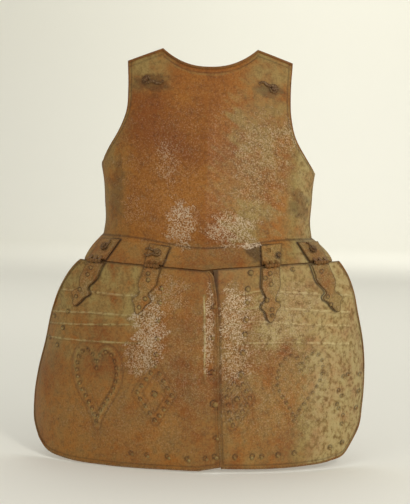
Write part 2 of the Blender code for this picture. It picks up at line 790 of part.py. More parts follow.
def hook(name, base, normal, aim, reach, material, width=HOOK_WIDTH):
    """A bar bent round its stud and on into an S, lying parallel to the face."""
    normal = Vector(normal).normalized()
    aim = Vector((math.cos(math.radians(aim)), 0.0, math.sin(math.radians(aim))))
    side = normal.cross(aim).normalized()
    front = side.cross(normal)
    loop = STUD_RADIUS + HOOK_PLAY + width / 2
    path = [
        Vector((loop * math.cos(a), loop * math.sin(a)))
        for a in np.radians(np.linspace(-8, 297, 12))
    ]
    start = path[-1]
    heading = math.radians(27)
    steps = 8
    for k in range(steps):
        bend = math.radians(-17 if k < steps / 2 else 24)
        heading += bend
        start = start + Vector((math.cos(heading), math.sin(heading))) * (reach / steps)
        path.append(start)
    outer = []
    inner = []
    for k, point in enumerate(path):
        ahead = path[min(k + 1, len(path) - 1)] - path[max(k - 1, 0)]
        across = Vector((-ahead.y, ahead.x)).normalized()
        taper = 1.0 if k < len(path) - 5 else 1.0 - 0.13 * (k - len(path) + 6)
        row = [point - across * width / 2 * taper, point + across * width / 2 * taper]
        at = [Vector(base) + front * p.x + side * p.y for p in row]
        inner.append(at)
        outer.append([p + normal * HOOK_PLATE for p in at])
    data = slab_mesh(name, np.array(outer), np.array(inner))
    return place(name, data, material, base)


def torso_normal(x, z):
    step = 0.002
    across = torso_point(x + step, z) - torso_point(x - step, z)
    rising = torso_point(x, z + step) - torso_point(x, z - step)
    normal = np.cross(across, rising)
    return Vector(normal / np.linalg.norm(normal))


def hook_place(x, lean, across=0.0, up=STUD_UP):
    """Foot and normal of a stud that stands on a leaf."""
    point, normal = flange_frame(x - lean * up + across, up / LEAF_REACH)
    normal = Vector(normal)
    return Vector(point) + normal * (SEAT_GAP + LEAF_PLATE + GAP), normal


def turning_hook(words, base, normal, aim, reach, width=HOOK_WIDTH):
    """A stud and the hook that turns on it, named by two words."""
    stud_name, hook_name = words
    stud(stud_name, base, normal, HOOK_LIFT + HOOK_PLATE + HOOK_PLAY, metal("dark_iron"))
    hook(hook_name, base + normal * HOOK_LIFT, normal, aim, reach, metal("dark_iron"), width)


def main():
    clear_scene()
    breastplate(metal("rusted_sheet"))
    axes = {side: hinge_axis(side) for side in (-1, 1)}
    for side in (-1, 1):
        tasset(side, metal("rusted_sheet"), axes[side][0])
    for number, x, leaf_lean, strap_lean, length, aim in HINGES:
        side = -1 if x < 0 else 1
        axis = axes[side]
        hinge_leaf(number, x, leaf_lean, axis, metal("rusted_fittings"), slotted=aim is None)
        hinge_strap(number, x, strap_lean, length, axis, side, metal("rusted_fittings"))
        hinge_pin(number, x, axis, metal("dark_iron"))
        if aim is None:
            base, normal = hook_place(x, leaf_lean, *STUMP_PLACE)
            stud(f"hook_stud_{number}", base, normal, 0.0010, metal("dark_iron"), 0.0030, 0.0006)
            continue
        base, normal = hook_place(x, leaf_lean)
        words = (f"hook_stud_{number}", f"turning_hook_{number}")
        turning_hook(words, base, normal, aim, HOOK_REACH)
    for word, x, z, aim in SHOULDER_FITTINGS:
        normal = torso_normal(x, z)
        base = Vector(torso_point(x, z)) + normal * GAP
        words = (f"shoulder_stud_{word}", f"shoulder_hook_{word}")
        turning_hook(words, base, normal, aim, SHOULDER_REACH, 0.0036)


main()
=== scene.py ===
# %% [markdown]
# A pikeman's breastplate and its two thigh plates, called tassets, in rusted iron.
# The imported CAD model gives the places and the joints. This lesson dresses it: sheets with
# hammered relief, rivets, hinges and hooks, each with its own rust. The box round the CAD
# model is kept, because nothing that is added may reach past it.

import json
import math

import bpy
import numpy as np
from mathutils import Matrix, Vector


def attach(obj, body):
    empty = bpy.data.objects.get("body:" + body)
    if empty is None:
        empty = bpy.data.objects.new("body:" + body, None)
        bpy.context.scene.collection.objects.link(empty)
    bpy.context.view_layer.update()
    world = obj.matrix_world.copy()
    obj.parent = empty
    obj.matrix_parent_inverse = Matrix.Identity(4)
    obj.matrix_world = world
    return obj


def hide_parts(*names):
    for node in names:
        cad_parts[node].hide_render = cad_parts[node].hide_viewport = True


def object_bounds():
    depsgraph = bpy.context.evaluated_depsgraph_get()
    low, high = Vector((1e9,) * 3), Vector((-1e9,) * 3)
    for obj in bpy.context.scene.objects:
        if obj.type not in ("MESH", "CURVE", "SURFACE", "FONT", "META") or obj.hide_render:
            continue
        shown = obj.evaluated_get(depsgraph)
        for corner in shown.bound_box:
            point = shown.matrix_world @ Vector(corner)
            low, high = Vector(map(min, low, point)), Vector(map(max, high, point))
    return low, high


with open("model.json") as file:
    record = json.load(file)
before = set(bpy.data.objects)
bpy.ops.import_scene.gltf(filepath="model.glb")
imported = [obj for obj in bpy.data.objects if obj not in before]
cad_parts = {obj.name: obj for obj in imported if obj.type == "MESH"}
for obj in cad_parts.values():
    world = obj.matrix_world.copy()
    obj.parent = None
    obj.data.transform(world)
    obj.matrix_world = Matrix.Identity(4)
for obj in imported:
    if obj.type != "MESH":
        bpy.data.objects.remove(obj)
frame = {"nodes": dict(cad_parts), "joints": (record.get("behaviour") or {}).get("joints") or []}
cad_box = [list(corner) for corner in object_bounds()]
print("CAD box in metres", [[round(v, 4) for v in corner] for corner in cad_box])

# %% [markdown]
# The camera stands 2.6 m in front of the middle of the armour, a little to its left side and
# a little above it, and is tilted by one degree. It could be set by hand until the outlines
# agree; here it is built from three angles and a distance, so that each can be changed alone.
# A long lens keeps the sheets nearly flat.

# %% Camera
AIM = Vector((0.0, 0.0, -0.1386))
DISTANCE = 2.6
BEARING, HEIGHT, TILT = math.radians(2.5), math.radians(3.0), math.radians(1.2)

ahead = Vector((-math.sin(BEARING), math.cos(BEARING), 0.0))
looks = ahead * math.cos(HEIGHT) - Vector((0.0, 0.0, math.sin(HEIGHT)))
level = Vector((math.cos(BEARING), math.sin(BEARING), 0.0))
above = level.cross(looks)
rightward = level * math.cos(TILT) + above * math.sin(TILT)
upward = above * math.cos(TILT) - level * math.sin(TILT)
lens = bpy.data.cameras.new("camera")
lens.sensor_fit = "VERTICAL"
lens.sensor_height = 36.0
lens.lens = 113.52
camera = bpy.data.objects.new("camera", lens)
facing = Matrix((rightward, upward, -looks)).transposed().to_4x4()
camera.matrix_world = Matrix.Translation(AIM - looks * DISTANCE) @ facing
bpy.context.scene.collection.objects.link(camera)
bpy.context.scene.camera = camera
print("camera at", [round(v, 3) for v in camera.location])

# %% [markdown]
# Paint cards give a colour as a hex code, and a shader takes linear numbers, so one function
# turns the one into the other. A material is a graph of nodes. Setting each by hand would
# bury its idea under links, so one more function adds a node with its settings and links.

# %% Colours and nodes
def linear(code):
    """Turn an sRGB hex colour into the linear numbers that a shader socket takes."""
    parts = np.array([int(code[k : k + 2], 16) for k in (1, 3, 5)]) / 255.0
    lifted = np.where(parts <= 0.04045, parts / 12.92, ((parts + 0.055) / 1.055) ** 2.4)
    return (*[float(v) for v in lifted], 1.0)


def add(tree, kind, settings=None, **links):
    """Add one node: settings are its attributes or socket values, links feed its sockets.

    A socket is named by its number in its list, 0 or in_0, or by its name with _ for a space.
    """
    node = tree.nodes.new(kind)
    for key, value in (settings or {}).items():
        if isinstance(key, str) and hasattr(node, key):
            setattr(node, key, value)
        else:
            node.inputs[key].default_value = value
    for key, source in links.items():
        socket = node.inputs[int(key[3:])] if key.startswith("in_") else node.inputs[key.replace("_", " ")]
        tree.links.new(source, socket)
    return node


print("middle grey is", round(linear("#808080")[0], 3), "in linear light")

# %% [markdown]
# The armour stands in a plain studio. Its floor and wall could be two planes with a corner
# between them, but photographers hang a roll of paper, whose cove hides that corner: a
# profile of floor, quarter circle and wall is drawn across from side to side. The wall is far
# behind, so that a camera can walk all round the armour.

# %% Floor and wall
FLOOR_Z = cad_box[0][2] - 0.002
FLOOR_FRONT, ROOM_HALF, WALL_Y, WALL_HEIGHT, COVE = -6.0, 8.0, 9.0, 7.0, 1.5

turn = np.linspace(0, math.pi / 2, 9)
profile_y = np.concatenate([[FLOOR_FRONT], WALL_Y - COVE + COVE * np.sin(turn), [WALL_Y]])
profile_z = np.concatenate([[FLOOR_Z], FLOOR_Z + COVE - COVE * np.cos(turn), [FLOOR_Z + WALL_HEIGHT]])
across = np.array([-ROOM_HALF, ROOM_HALF])
room = np.stack(np.broadcast_arrays(across[:, None], profile_y[None], profile_z[None]), -1).reshape(-1, 3)
steps = np.arange(len(profile_y) - 1)
room_faces = np.stack([steps, steps + len(profile_y), steps + len(profile_y) + 1, steps + 1], -1)
room_mesh = bpy.data.meshes.new("room")
room_mesh.from_pydata(room.tolist(), [], room_faces.tolist())
room_mesh.shade_smooth()
room_object = bpy.data.objects.new("room", room_mesh)
bpy.context.scene.collection.objects.link(room_object)

# Matt wall paint: pale, without any sheen, so that only the light draws on it.
wall_paint = bpy.data.materials.new("pale_matt_paint")
wall_paint.use_nodes = True
wall_shader = wall_paint.node_tree.nodes["Principled BSDF"]
wall_shader.inputs["Base Color"].default_value = linear("#efede3")
wall_shader.inputs["Roughness"].default_value = 0.9
room_mesh.materials.append(wall_paint)
print("floor at", round(FLOOR_Z, 4), "and room of", len(room_faces), "faces")

# %% [markdown]
# The armour is lit as for a catalogue. A small key light from the upper right draws the relief,
# a large one from the side fills the left tasset, and weak ones come from the left and above.
# Two more light the wall and the floor behind. Square lamps are used, because their soft edge
# suits dull metal, and a pale world stands for the light that a room sends back.


# %% Lights and world
def softbox(name, place, size, power, colour, target=AIM):
    """A square lamp that looks at the middle of the armour, and that the camera doesn't see."""
    light = bpy.data.lights.new(name, "AREA")
    light.size = size
    light.energy = power
    light.color = linear(colour)[:3]
    lamp = bpy.data.objects.new(name, light)
    lamp.location = place
    lamp.rotation_euler = (Vector(target) - Vector(place)).to_track_quat("-Z", "Y").to_euler()
    lamp.visible_camera = False
    bpy.context.scene.collection.objects.link(lamp)
    return lamp


softbox("key", (0.95, -2.4, 0.9), 0.4, 21, "#fffcf4")
softbox("side", (2.6, -1.6, -0.35), 1.3, 30, "#fffff8")
softbox("fill", (-1.3, -2.3, -0.5), 1.4, 10, "#fcfcff")
softbox("top", (0.0, -0.8, 2.0), 1.6, 4, "#ffffff")
softbox("wall wash", (0.8, 6.2, 2.2), 3.0, 52, "#fffff8", (0.6, WALL_Y, 0.4))
softbox("floor wash", (0.4, 2.6, 3.0), 3.0, 45, "#fffff8", (0.4, 2.8, FLOOR_Z))

world = bpy.data.worlds.new("pale room")
world.use_nodes = True
world.node_tree.nodes["Background"].inputs["Color"].default_value = linear("#f3f2ee")
world.node_tree.nodes["Background"].inputs["Strength"].default_value = 0.60
bpy.context.scene.world = world
bpy.context.scene.view_settings.view_transform = "Standard"

# %% [markdown]
# The smith beat each sheet out by eye over an iron stake, and its outline follows no circle.
# It could be drawn as a long list of points, but the CAD work already knows it as short tables
# of shares, with a smooth curve through each. The same tables are used here on a finer grid,
# so that hammered relief and rolled edges can be added. Lengths are in metres where no comment
# says mm.

# %% Curves through tables
CHEST_HALF, SHOULDER_RISE, WAIST_DROP, CHEST_DEPTH = 0.180, 0.1955, 0.130, 0.075
FLANGE_HALF, FLANGE_RISE = {-1: 0.201, 1: 0.209}, {-1: 0.010, 1: 0.016}
FLANGE_DROP, FLANGE_FRONT, FLANGE_DEPTH, FLANGE_SPAN = 0.036, -0.040, 0.0946, 0.2320
TASSET_DROP, TASSET_SPREAD, TASSET_WRAP = 0.335, 0.290, 0.184
TASSET_TOP = {-1: FLANGE_HALF[-1] + 0.0087, 1: FLANGE_HALF[1] + 0.0120}

# Side: share of the waist's drop, share of the half-width.
SIDE_LINE = ((0, 1.0), (0.18, 0.979), (0.45, 0.966), (0.70, 0.957), (0.88, 0.974))
# Armhole: share of the shoulder's rise, shares of the half-width on the right and the left.
ARMHOLE_LINE = (
    (0, 1.0, 1.0), (0.13, 0.928, 0.904), (0.28, 0.832, 0.806),
    (0.45, 0.762, 0.757), (0.65, 0.750, 0.746), (0.89, 0.762, 0.758),
)
# Front: share of the shoulder's rise, how far the middle line goes back, by the chest's depth.
FRONT_LINE = (
    (-0.67, 0.13), (-0.52, 0.22), (-0.36, 0.235), (-0.18, 0.15), (0.0, 0.027),
    (0.30, -0.10), (0.60, -0.27), (0.85, -0.46), (1.0, -0.62),
)
# Tasset's free edge: share of its drop, shares of its spread on the right and the left.
TASSET_LINE = (
    (0, 0, 0), (0.03, 0.122, 0.101), (0.14, 0.415, 0.349), (0.26, 0.610, 0.487),
    (0.44, 0.787, 0.660), (0.59, 0.928, 0.702), (0.74, 1.0, 0.656), (0.85, 0.975, 0.567),
    (0.92, 0.838, 0.370),
)
# Tasset's inner edge: share of its drop, distance from the centre line on the right and the left.
INNER_LINE = (
    (0, 0.0085, 0.0160), (0.026, 0.0160, 0.0170), (0.060, 0.0185, 0.0181), (0.120, 0.0225, 0.0219),
    (0.190, 0.0250, 0.0241), (0.600, 0.0300, 0.0291), (1.0, 0.0375, 0.0366),
)
# Hem: share of the way out from the inner edge, shares of the drop on the right and the left.
HEM_LINE = (
    (0, 0.950, 0.960), (0.20, 0.968, 0.975), (0.50, 0.985, 0.985), (0.75, 0.985, 0.980),
    (0.90, 0.965, 0.960), (1.0, 0.920, 0.910),
)


def through(places, rows, column=1):
    """Smooth curve through one column of a table: cubic Hermite pieces with averaged slopes."""
    table = np.array(rows, float)
    x, y = table[:, 0], table[:, column]
    places = np.clip(np.asarray(places, float), x[0], x[-1])
    slope = np.gradient(y, x)
    k = np.clip(np.searchsorted(x, places, side="right") - 1, 0, len(x) - 2)
    step = x[k + 1] - x[k]
    t = (places - x[k]) / step
    start = (2 * t**3 - 3 * t**2 + 1) * y[k] + (t**3 - 2 * t**2 + t) * step * slope[k]
    return start + (3 * t**2 - 2 * t**3) * y[k + 1] + (t**3 - t**2) * step * slope[k + 1]


def ease(t):
    """0 to 1 smoothly: three t squared less two t cubed."""
    t = np.clip(t, 0.0, 1.0)
    return t * t * (3.0 - 2.0 * t)


def bow(share, width_power, depth_power):
    """Depth of a plan section at a share s of its width: 1 - (1 - s^a)^(1/b)."""
    share = np.clip(np.abs(share), 0.0, 1.0)
    return 1.0 - (1.0 - share**width_power) ** (1.0 / depth_power)


print("tables hold", len(TASSET_LINE), "places down a tasset")

# %% [markdown]
# Seen from above, the chest is a flattened circle at each height, drawn forward to a ridge in
# the middle. Below the waist the metal turns outwards in a straight flange. A subdivision
# surface could be pulled into this shape by hand; formulas of width and height are chosen, so
# that the sheet lies exactly where the CAD sheet lies.

# %% Chest and waist flange as formulas
ROUND = math.radians(78)
RIDGE_HIGH, RIDGE_HALF = 0.004, 0.3
CREASE_RISE = 0.12


def chest_half(z):
    """Half-width of the full plan section: the side's, over the sine of its turn, less 4% above."""
    below = CHEST_HALF * through(-np.minimum(z, 0.0) / WAIST_DROP, SIDE_LINE)
    return below / math.sin(ROUND) * (1.0 - 0.04 * ease(z / SHOULDER_RISE))


def chest_point(x, z):
    """The face of the chest: the front line plus a bowed depth, less a narrow ridge.

    The ridge is its height times the square of one less the share of its half-width.
    """
    front = -CHEST_DEPTH * through(z / SHOULDER_RISE, FRONT_LINE)
    depth = (CHEST_DEPTH - front) / bow(math.sin(ROUND), 2, 2)
    ridge = RIDGE_HIGH * np.clip(1 - np.abs(x) / (RIDGE_HALF * CHEST_HALF), 0, 1) ** 2
    ridge = ridge * ease((0.65 - z / SHOULDER_RISE) / 0.4)
    return np.stack(np.broadcast_arrays(x, front + depth * bow(x / chest_half(z), 2, 2) - ridge, z), -1)


def crease_height(share):
    """Height of the waist crease, which rises smoothly towards both sides."""
    return -WAIST_DROP + CREASE_RISE * WAIST_DROP * ease(np.abs(share) / 0.82)


CREASE_HALF = CHEST_HALF * SIDE_LINE[-1][1]


def edge_height(x):
    """Height of the flange's lower edge, which rises towards both sides."""
    half = np.where(x < 0, FLANGE_HALF[-1], FLANGE_HALF[1])
    rise = np.where(x < 0, FLANGE_RISE[-1], FLANGE_RISE[1])
    return -WAIST_DROP - FLANGE_DROP + rise * (np.abs(x) / half) ** 0.8


def edge_depth(x):
    """Depth of the flange's lower edge: its front plus a bowed depth."""
    return FLANGE_FRONT + FLANGE_DEPTH * bow(x / FLANGE_SPAN, 1.6, 1.2)


def flange_half(share, up):
    """Half-width of the flange: from the lower edge's to the crease's, by up to the 1.5."""
    low = np.where(share < 0, FLANGE_HALF[-1], FLANGE_HALF[1])
    return low + (CREASE_HALF - low) * up**1.5


def flange_point(share, up):
    """From the lower edge, up 0, straight to the waist crease, up 1, and slightly hollow."""
    share, up = np.broadcast_arrays(np.asarray(share, float), np.asarray(up, float))
    x = np.where(share < 0, FLANGE_HALF[-1], FLANGE_HALF[1]) * share
    low = np.stack([x, edge_depth(x), edge_height(x)], -1)
    point = low + (chest_point(CREASE_HALF * share, crease_height(share)) - low) * up[..., None]
    point[..., 0] = flange_half(share, up) * share
    point[..., 1] += 0.0025 * np.sin(np.pi * up)
    return point


def filled(left, right, bottom, top):
    """Fill a grid between four edges: both mixes of facing edges, less the mix of the corners."""
    v = np.linspace(0, 1, len(left))[:, None, None]
    u = np.linspace(0, 1, len(bottom))[None, :, None]
    corners = (1 - u) * (1 - v) * left[0] + u * (1 - v) * right[0]
    corners = corners + (1 - u) * v * left[-1] + u * v * right[-1]
    sides = (1 - u) * left[:, None] + u * right[:, None]
    return sides + (1 - v) * bottom[None] + v * top[None] - corners


def chest_face(below, rise, half_columns):
    """Rows of points from the waist crease up, worked out as turn round the body and height."""
    tip_column = half_columns * 4 // 7
    share = np.linspace(-1, 1, 2 * half_columns + 1)
    sides = []
    for column, side, corner in ((1, -1, 0.005), (2, 1, -0.009)):
        side_z = np.linspace(crease_height(side), corner, below + 1)
        side_x = CHEST_HALF * through(-np.minimum(side_z, 0) / WAIST_DROP, SIDE_LINE)
        climb = np.linspace(0, ARMHOLE_LINE[-1][0], rise + 1)[1:]
        hole_z = corner + climb / ARMHOLE_LINE[-1][0] * (SHOULDER_RISE * ARMHOLE_LINE[-1][0] - corner)
        x = side * np.concatenate([side_x, CHEST_HALF * through(climb, ARMHOLE_LINE, column)])
        z = np.concatenate([side_z, hole_z])
        sides.append(np.stack([np.arcsin(x / chest_half(z)), z], -1))
    left, right = sides
    neck, corner_x = 0.845 * SHOULDER_RISE, CHEST_HALF * ARMHOLE_LINE[-1][1]
    tip_x = corner_x * tip_column / half_columns
    x = corner_x * share
    scoop = neck + (SHOULDER_RISE - neck) * (np.abs(x) / tip_x) ** 2.3
    slope = SHOULDER_RISE + (left[-1, 1] - SHOULDER_RISE) * (np.abs(x) - tip_x) / (corner_x - tip_x)
    z = np.where(np.abs(x) <= tip_x * 1.001, scoop, slope)
    top = np.stack([np.arcsin(x / chest_half(z)), z], -1)
    angle = share * math.asin(CREASE_HALF / chest_half(crease_height(1.0)))
    waist = np.sin(angle) / math.sin(angle[-1])
    z = crease_height(waist)
    bottom = np.stack([np.arcsin(CREASE_HALF * waist / chest_half(z)), z], -1)
    top[0], top[-1], bottom[0], bottom[-1] = left[-1], right[-1], left[0], right[0]
    grid = filled(left, right, bottom, top)
    return chest_point(chest_half(grid[..., 1]) * np.sin(grid[..., 0]), grid[..., 1]), waist


print("chest is", round(2 * CHEST_HALF * 1000), "mm wide at the armholes")

# %% [markdown]
# A forged sheet is one closed body: a face, a back, and round the border either a plain cut
# edge or a bead where the smith rolled the edge over a wire. A Solidify modifier gives the
# thickness but no roll, so the face, the back and the rings of the roll are worked out here
# and joined along the border.


# %% Sheets with rolled edges
def normals_of(points):
    """Unit normals of a grid: the cross product of its two directions."""
    normal = np.cross(np.gradient(points, axis=1), np.gradient(points, axis=0))
    return normal / np.linalg.norm(normal, axis=-1, keepdims=True)


def pulled(points, amount, axis):
    """Slide a grid's points along one axis, so that both ends draw in by amounts in metres."""
    points = np.moveaxis(points, axis, 0)
    count = len(points)
    length = np.linalg.norm(np.diff(points, axis=0), axis=-1).sum(0)
    low, high = amount[0] / length * (count - 1), amount[1] / length * (count - 1)
    place = low + np.arange(count)[:, None] / (count - 1) * (count - 1 - low - high)
    k = np.clip(place.astype(int), 0, count - 2)
    t = (place - k)[..., None]
    here = np.take_along_axis(points, k[..., None], 0)
    ahead = np.take_along_axis(points, k[..., None] + 1, 0)
    return np.moveaxis(here + (ahead - here) * t, 0, axis)


def border(rows, columns):
    """Row and column numbers anticlockwise round a grid."""
    r, c = np.arange(rows), np.arange(columns)
    row = np.concatenate([0 * c, r[1:], 0 * c[1:] + rows - 1, r[-2:0:-1]])
    column = np.concatenate([c, 0 * r[1:] + columns - 1, c[-2::-1], 0 * r[-2:0:-1]])
    return row, column


ROLL_TURNS = np.radians(np.linspace(158, -50, 8))
ROLL_ROOM = 1.9


def sheet(points, thickness, bead, radius, relief):
    """A closed sheet behind a grid; bead gives each side's share of a full roll of a radius.

    The roll's section is a circle that stands forward of the face, and relief, in metres,
    lifts the face along its normals.
    """
    rows, columns = points.shape[:2]
    normal = normals_of(points)
    row, column = border(rows, columns)
    edge, out_of = points[row, column], normal[row, column]
    outward = np.cross(np.roll(edge, -1, 0) - np.roll(edge, 1, 0), out_of)
    outward /= np.linalg.norm(outward, axis=-1, keepdims=True)
    share = np.where(row == 0, bead["bottom"][column], 0.0)
    share = np.maximum(share, np.where(row == rows - 1, bead["top"][column], 0.0))
    share = np.maximum(share, np.where(column == 0, bead["left"][row], 0.0))
    share = np.maximum(share, np.where(column == columns - 1, bead["right"][row], 0.0))
    room_for = ROLL_ROOM * radius
    face = pulled(points, (room_for * bead["bottom"], room_for * bead["top"]), 0)
    face = pulled(face, (room_for * bead["left"], room_for * bead["right"]), 1)
    back = face - normals_of(face) * thickness
    face = face + normals_of(face) * relief[..., None]
    share = share[:, None]
    centre = edge - outward * radius * share + out_of * (radius * share - thickness)
    bands = []
    for number, angle in enumerate(ROLL_TURNS):
        ring = centre + radius * (math.cos(angle) * outward + math.sin(angle) * out_of)
        flat = edge - out_of * thickness * (number + 1) / (len(ROLL_TURNS) + 1)
        bands.append(share * ring + (1 - share) * flat)
    return closed(face, back, (row, column), np.stack(bands, 1))


def closed(face, back, ring, bands):
    """Points and quads of a body: the face, the back turned round, and strips between them."""
    rows, columns = face.shape[:2]
    count = rows * columns
    grid = np.arange(count).reshape(rows, columns)
    corners = [grid[:-1, :-1], grid[:-1, 1:], grid[1:, 1:], grid[1:, :-1]]
    front = np.stack(corners, -1).reshape(-1, 4)
    rear = count + np.stack([corners[k] for k in (0, 3, 2, 1)], -1).reshape(-1, 4)
    rim = grid[ring][:, None]
    middle = 2 * count + np.arange(bands.shape[0] * bands.shape[1]).reshape(bands.shape[:2])
    strip = np.concatenate([rim, middle, rim + count], 1)
    ahead = np.roll(strip, -1, 0)
    sides = np.stack([strip[:, :-1], strip[:, 1:], ahead[:, 1:], ahead[:, :-1]], -1).reshape(-1, 4)
    points = np.concatenate([face.reshape(-1, 3), back.reshape(-1, 3), bands.reshape(-1, 3)])
    return points, [np.concatenate([front, rear, sides])]


print("a roll is drawn with", len(ROLL_TURNS), "rings")

# %% [markdown]
# Hooks and lips are bars, swept along a path. Each body is an array of points and blocks of faces, so
# several can be put together as arrays, and only the end result becomes a Blender mesh. That is quicker
# than joining objects, and the points keep their order, which the wear and painted light that are stored
# on them rely on.


# %% Bars, joining and making
def joined(parts):
    """Several bodies as one: their points in one array, and their face numbers moved on."""
    points, faces, first = [], [], 0
    for body_points, body_faces in parts:
        points.append(body_points)
        faces += [block + first for block in body_faces]
        first += len(body_points)
    return np.concatenate(points), faces


def bar(path, across, rising, half_wide, half_high, sides=10):
    """A tapered bar along a path: ellipses of given half sizes, closed by a point at each end."""
    angle = np.linspace(0, 2 * np.pi, sides, endpoint=False)
    ring = half_wide[:, None, None] * np.cos(angle)[None, :, None] * across[:, None]
    ring = path[:, None] + ring + half_high[:, None, None] * np.sin(angle)[None, :, None] * rising
    grid = np.arange(len(path) * sides).reshape(-1, sides)
    beside = np.roll(grid, -1, 1)
    quads = np.stack([grid[:-1], beside[:-1], beside[1:], grid[1:]], -1).reshape(-1, 4)
    first, last = len(path) * sides, len(path) * sides + 1
    start = np.stack([0 * grid[0] + first, beside[0], grid[0]], -1)
    end = np.stack([0 * grid[-1] + last, grid[-1], beside[-1]], -1)
    return np.concatenate([ring.reshape(-1, 3), path[:1], path[-1:]]), [quads, start, end]


def make(name, points, faces, material, body, sharp=40.0):
    """Put points, kept inside the CAD box, and blocks of faces into a mesh that rides on a body."""
    points = np.clip(points, *cad_box)
    mesh = bpy.data.meshes.new(name)
    mesh.from_pydata(points.tolist(), [], [row for block in faces for row in block.tolist()])
    mesh.shade_smooth()
    mesh.set_sharp_from_angle(angle=math.radians(sharp))
    mesh.materials.append(material)
    piece = bpy.data.objects.new(name, mesh)
    bpy.context.scene.collection.objects.link(piece)
    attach(piece, body)
    print(name, "has", len(mesh.polygons), "faces")
    return piece


def paint(piece, dust_and_highlight, specks_and_highlight, grime_and_shade, behind=(0.10, 0.0, 0.35), rim=(0.15, 0.0, 0.30)):
    """Store dust, shine and grime for each point: the face, its back, then the rim. Grime is mostly
    painted shade, shine lays bare specks that also paint highlights, and dust past 1 paints pale
    highlights; the others run from 0 to 1.
    """
    values = np.ones((len(piece.data.vertices), 4), np.float32)
    count = dust_and_highlight.size
    values[count : 2 * count, :3] = behind
    values[2 * count :, :3] = rim
    for k, column in enumerate((dust_and_highlight, specks_and_highlight, grime_and_shade)):
        values[:count, k] = np.broadcast_to(column, dust_and_highlight.shape).ravel()
    layer = piece.data.color_attributes.new("wear_and_light", "FLOAT_COLOR", "POINT")
    layer.data.foreach_set("color", values.ravel())


def near_path(points, path):
    """Distance from each point to a broken line, by the nearest place on each of its pieces."""
    path = np.asarray(path, float)
    best = np.full(points.shape[:-1], np.inf)
    for start, end in zip(path[:-1], path[1:]):
        along = end - start
        t = np.clip((points - start) @ along / (along @ along), 0, 1)
        best = np.minimum(best, np.linalg.norm(points - start - t[..., None] * along, axis=-1))
    return best


test_far = near_path(np.array([0.5, 0.5]), ((0, 0), (1, 0)))
print("a place half a step above a line is", float(test_far), "from it")

# %% [markdown]
# Old armour iron that has rusted and then been oiled has three looks: a red-brown crust, an ochre dust
# where dirt lies, and speckles where the pitted metal still shines. Painted images could show that, but
# they blur when seen closely. Here noise of five sizes in millimetres mixes the colours, and values that
# are stored on each sheet say where dust, shine and grime lie, so that they follow the shape while the
# noise breaks their borders up. These values also paint light and shade: pale dust stands for highlights
# along raised lines, pale specks are bare iron and painted highlights at once, and the dark of grime is
# mostly painted shade in creases, grooves and beside raised parts.

# %% Rusted iron
RUST_DARK, RUST_RED, RUST_ORANGE = "#452812", "#7e4515", "#975f20"
# The darkest colour here paints shade as well as grime, and the palest ones paint highlights as well as
# dust and bare specks.
DUST, OLD_DUST, PALE_DUST_AND_HIGHLIGHT, GRIME_AND_SHADE, BRIGHT = "#937d48", "#75592d", "#bba878", "#28180c", "#b49f84"


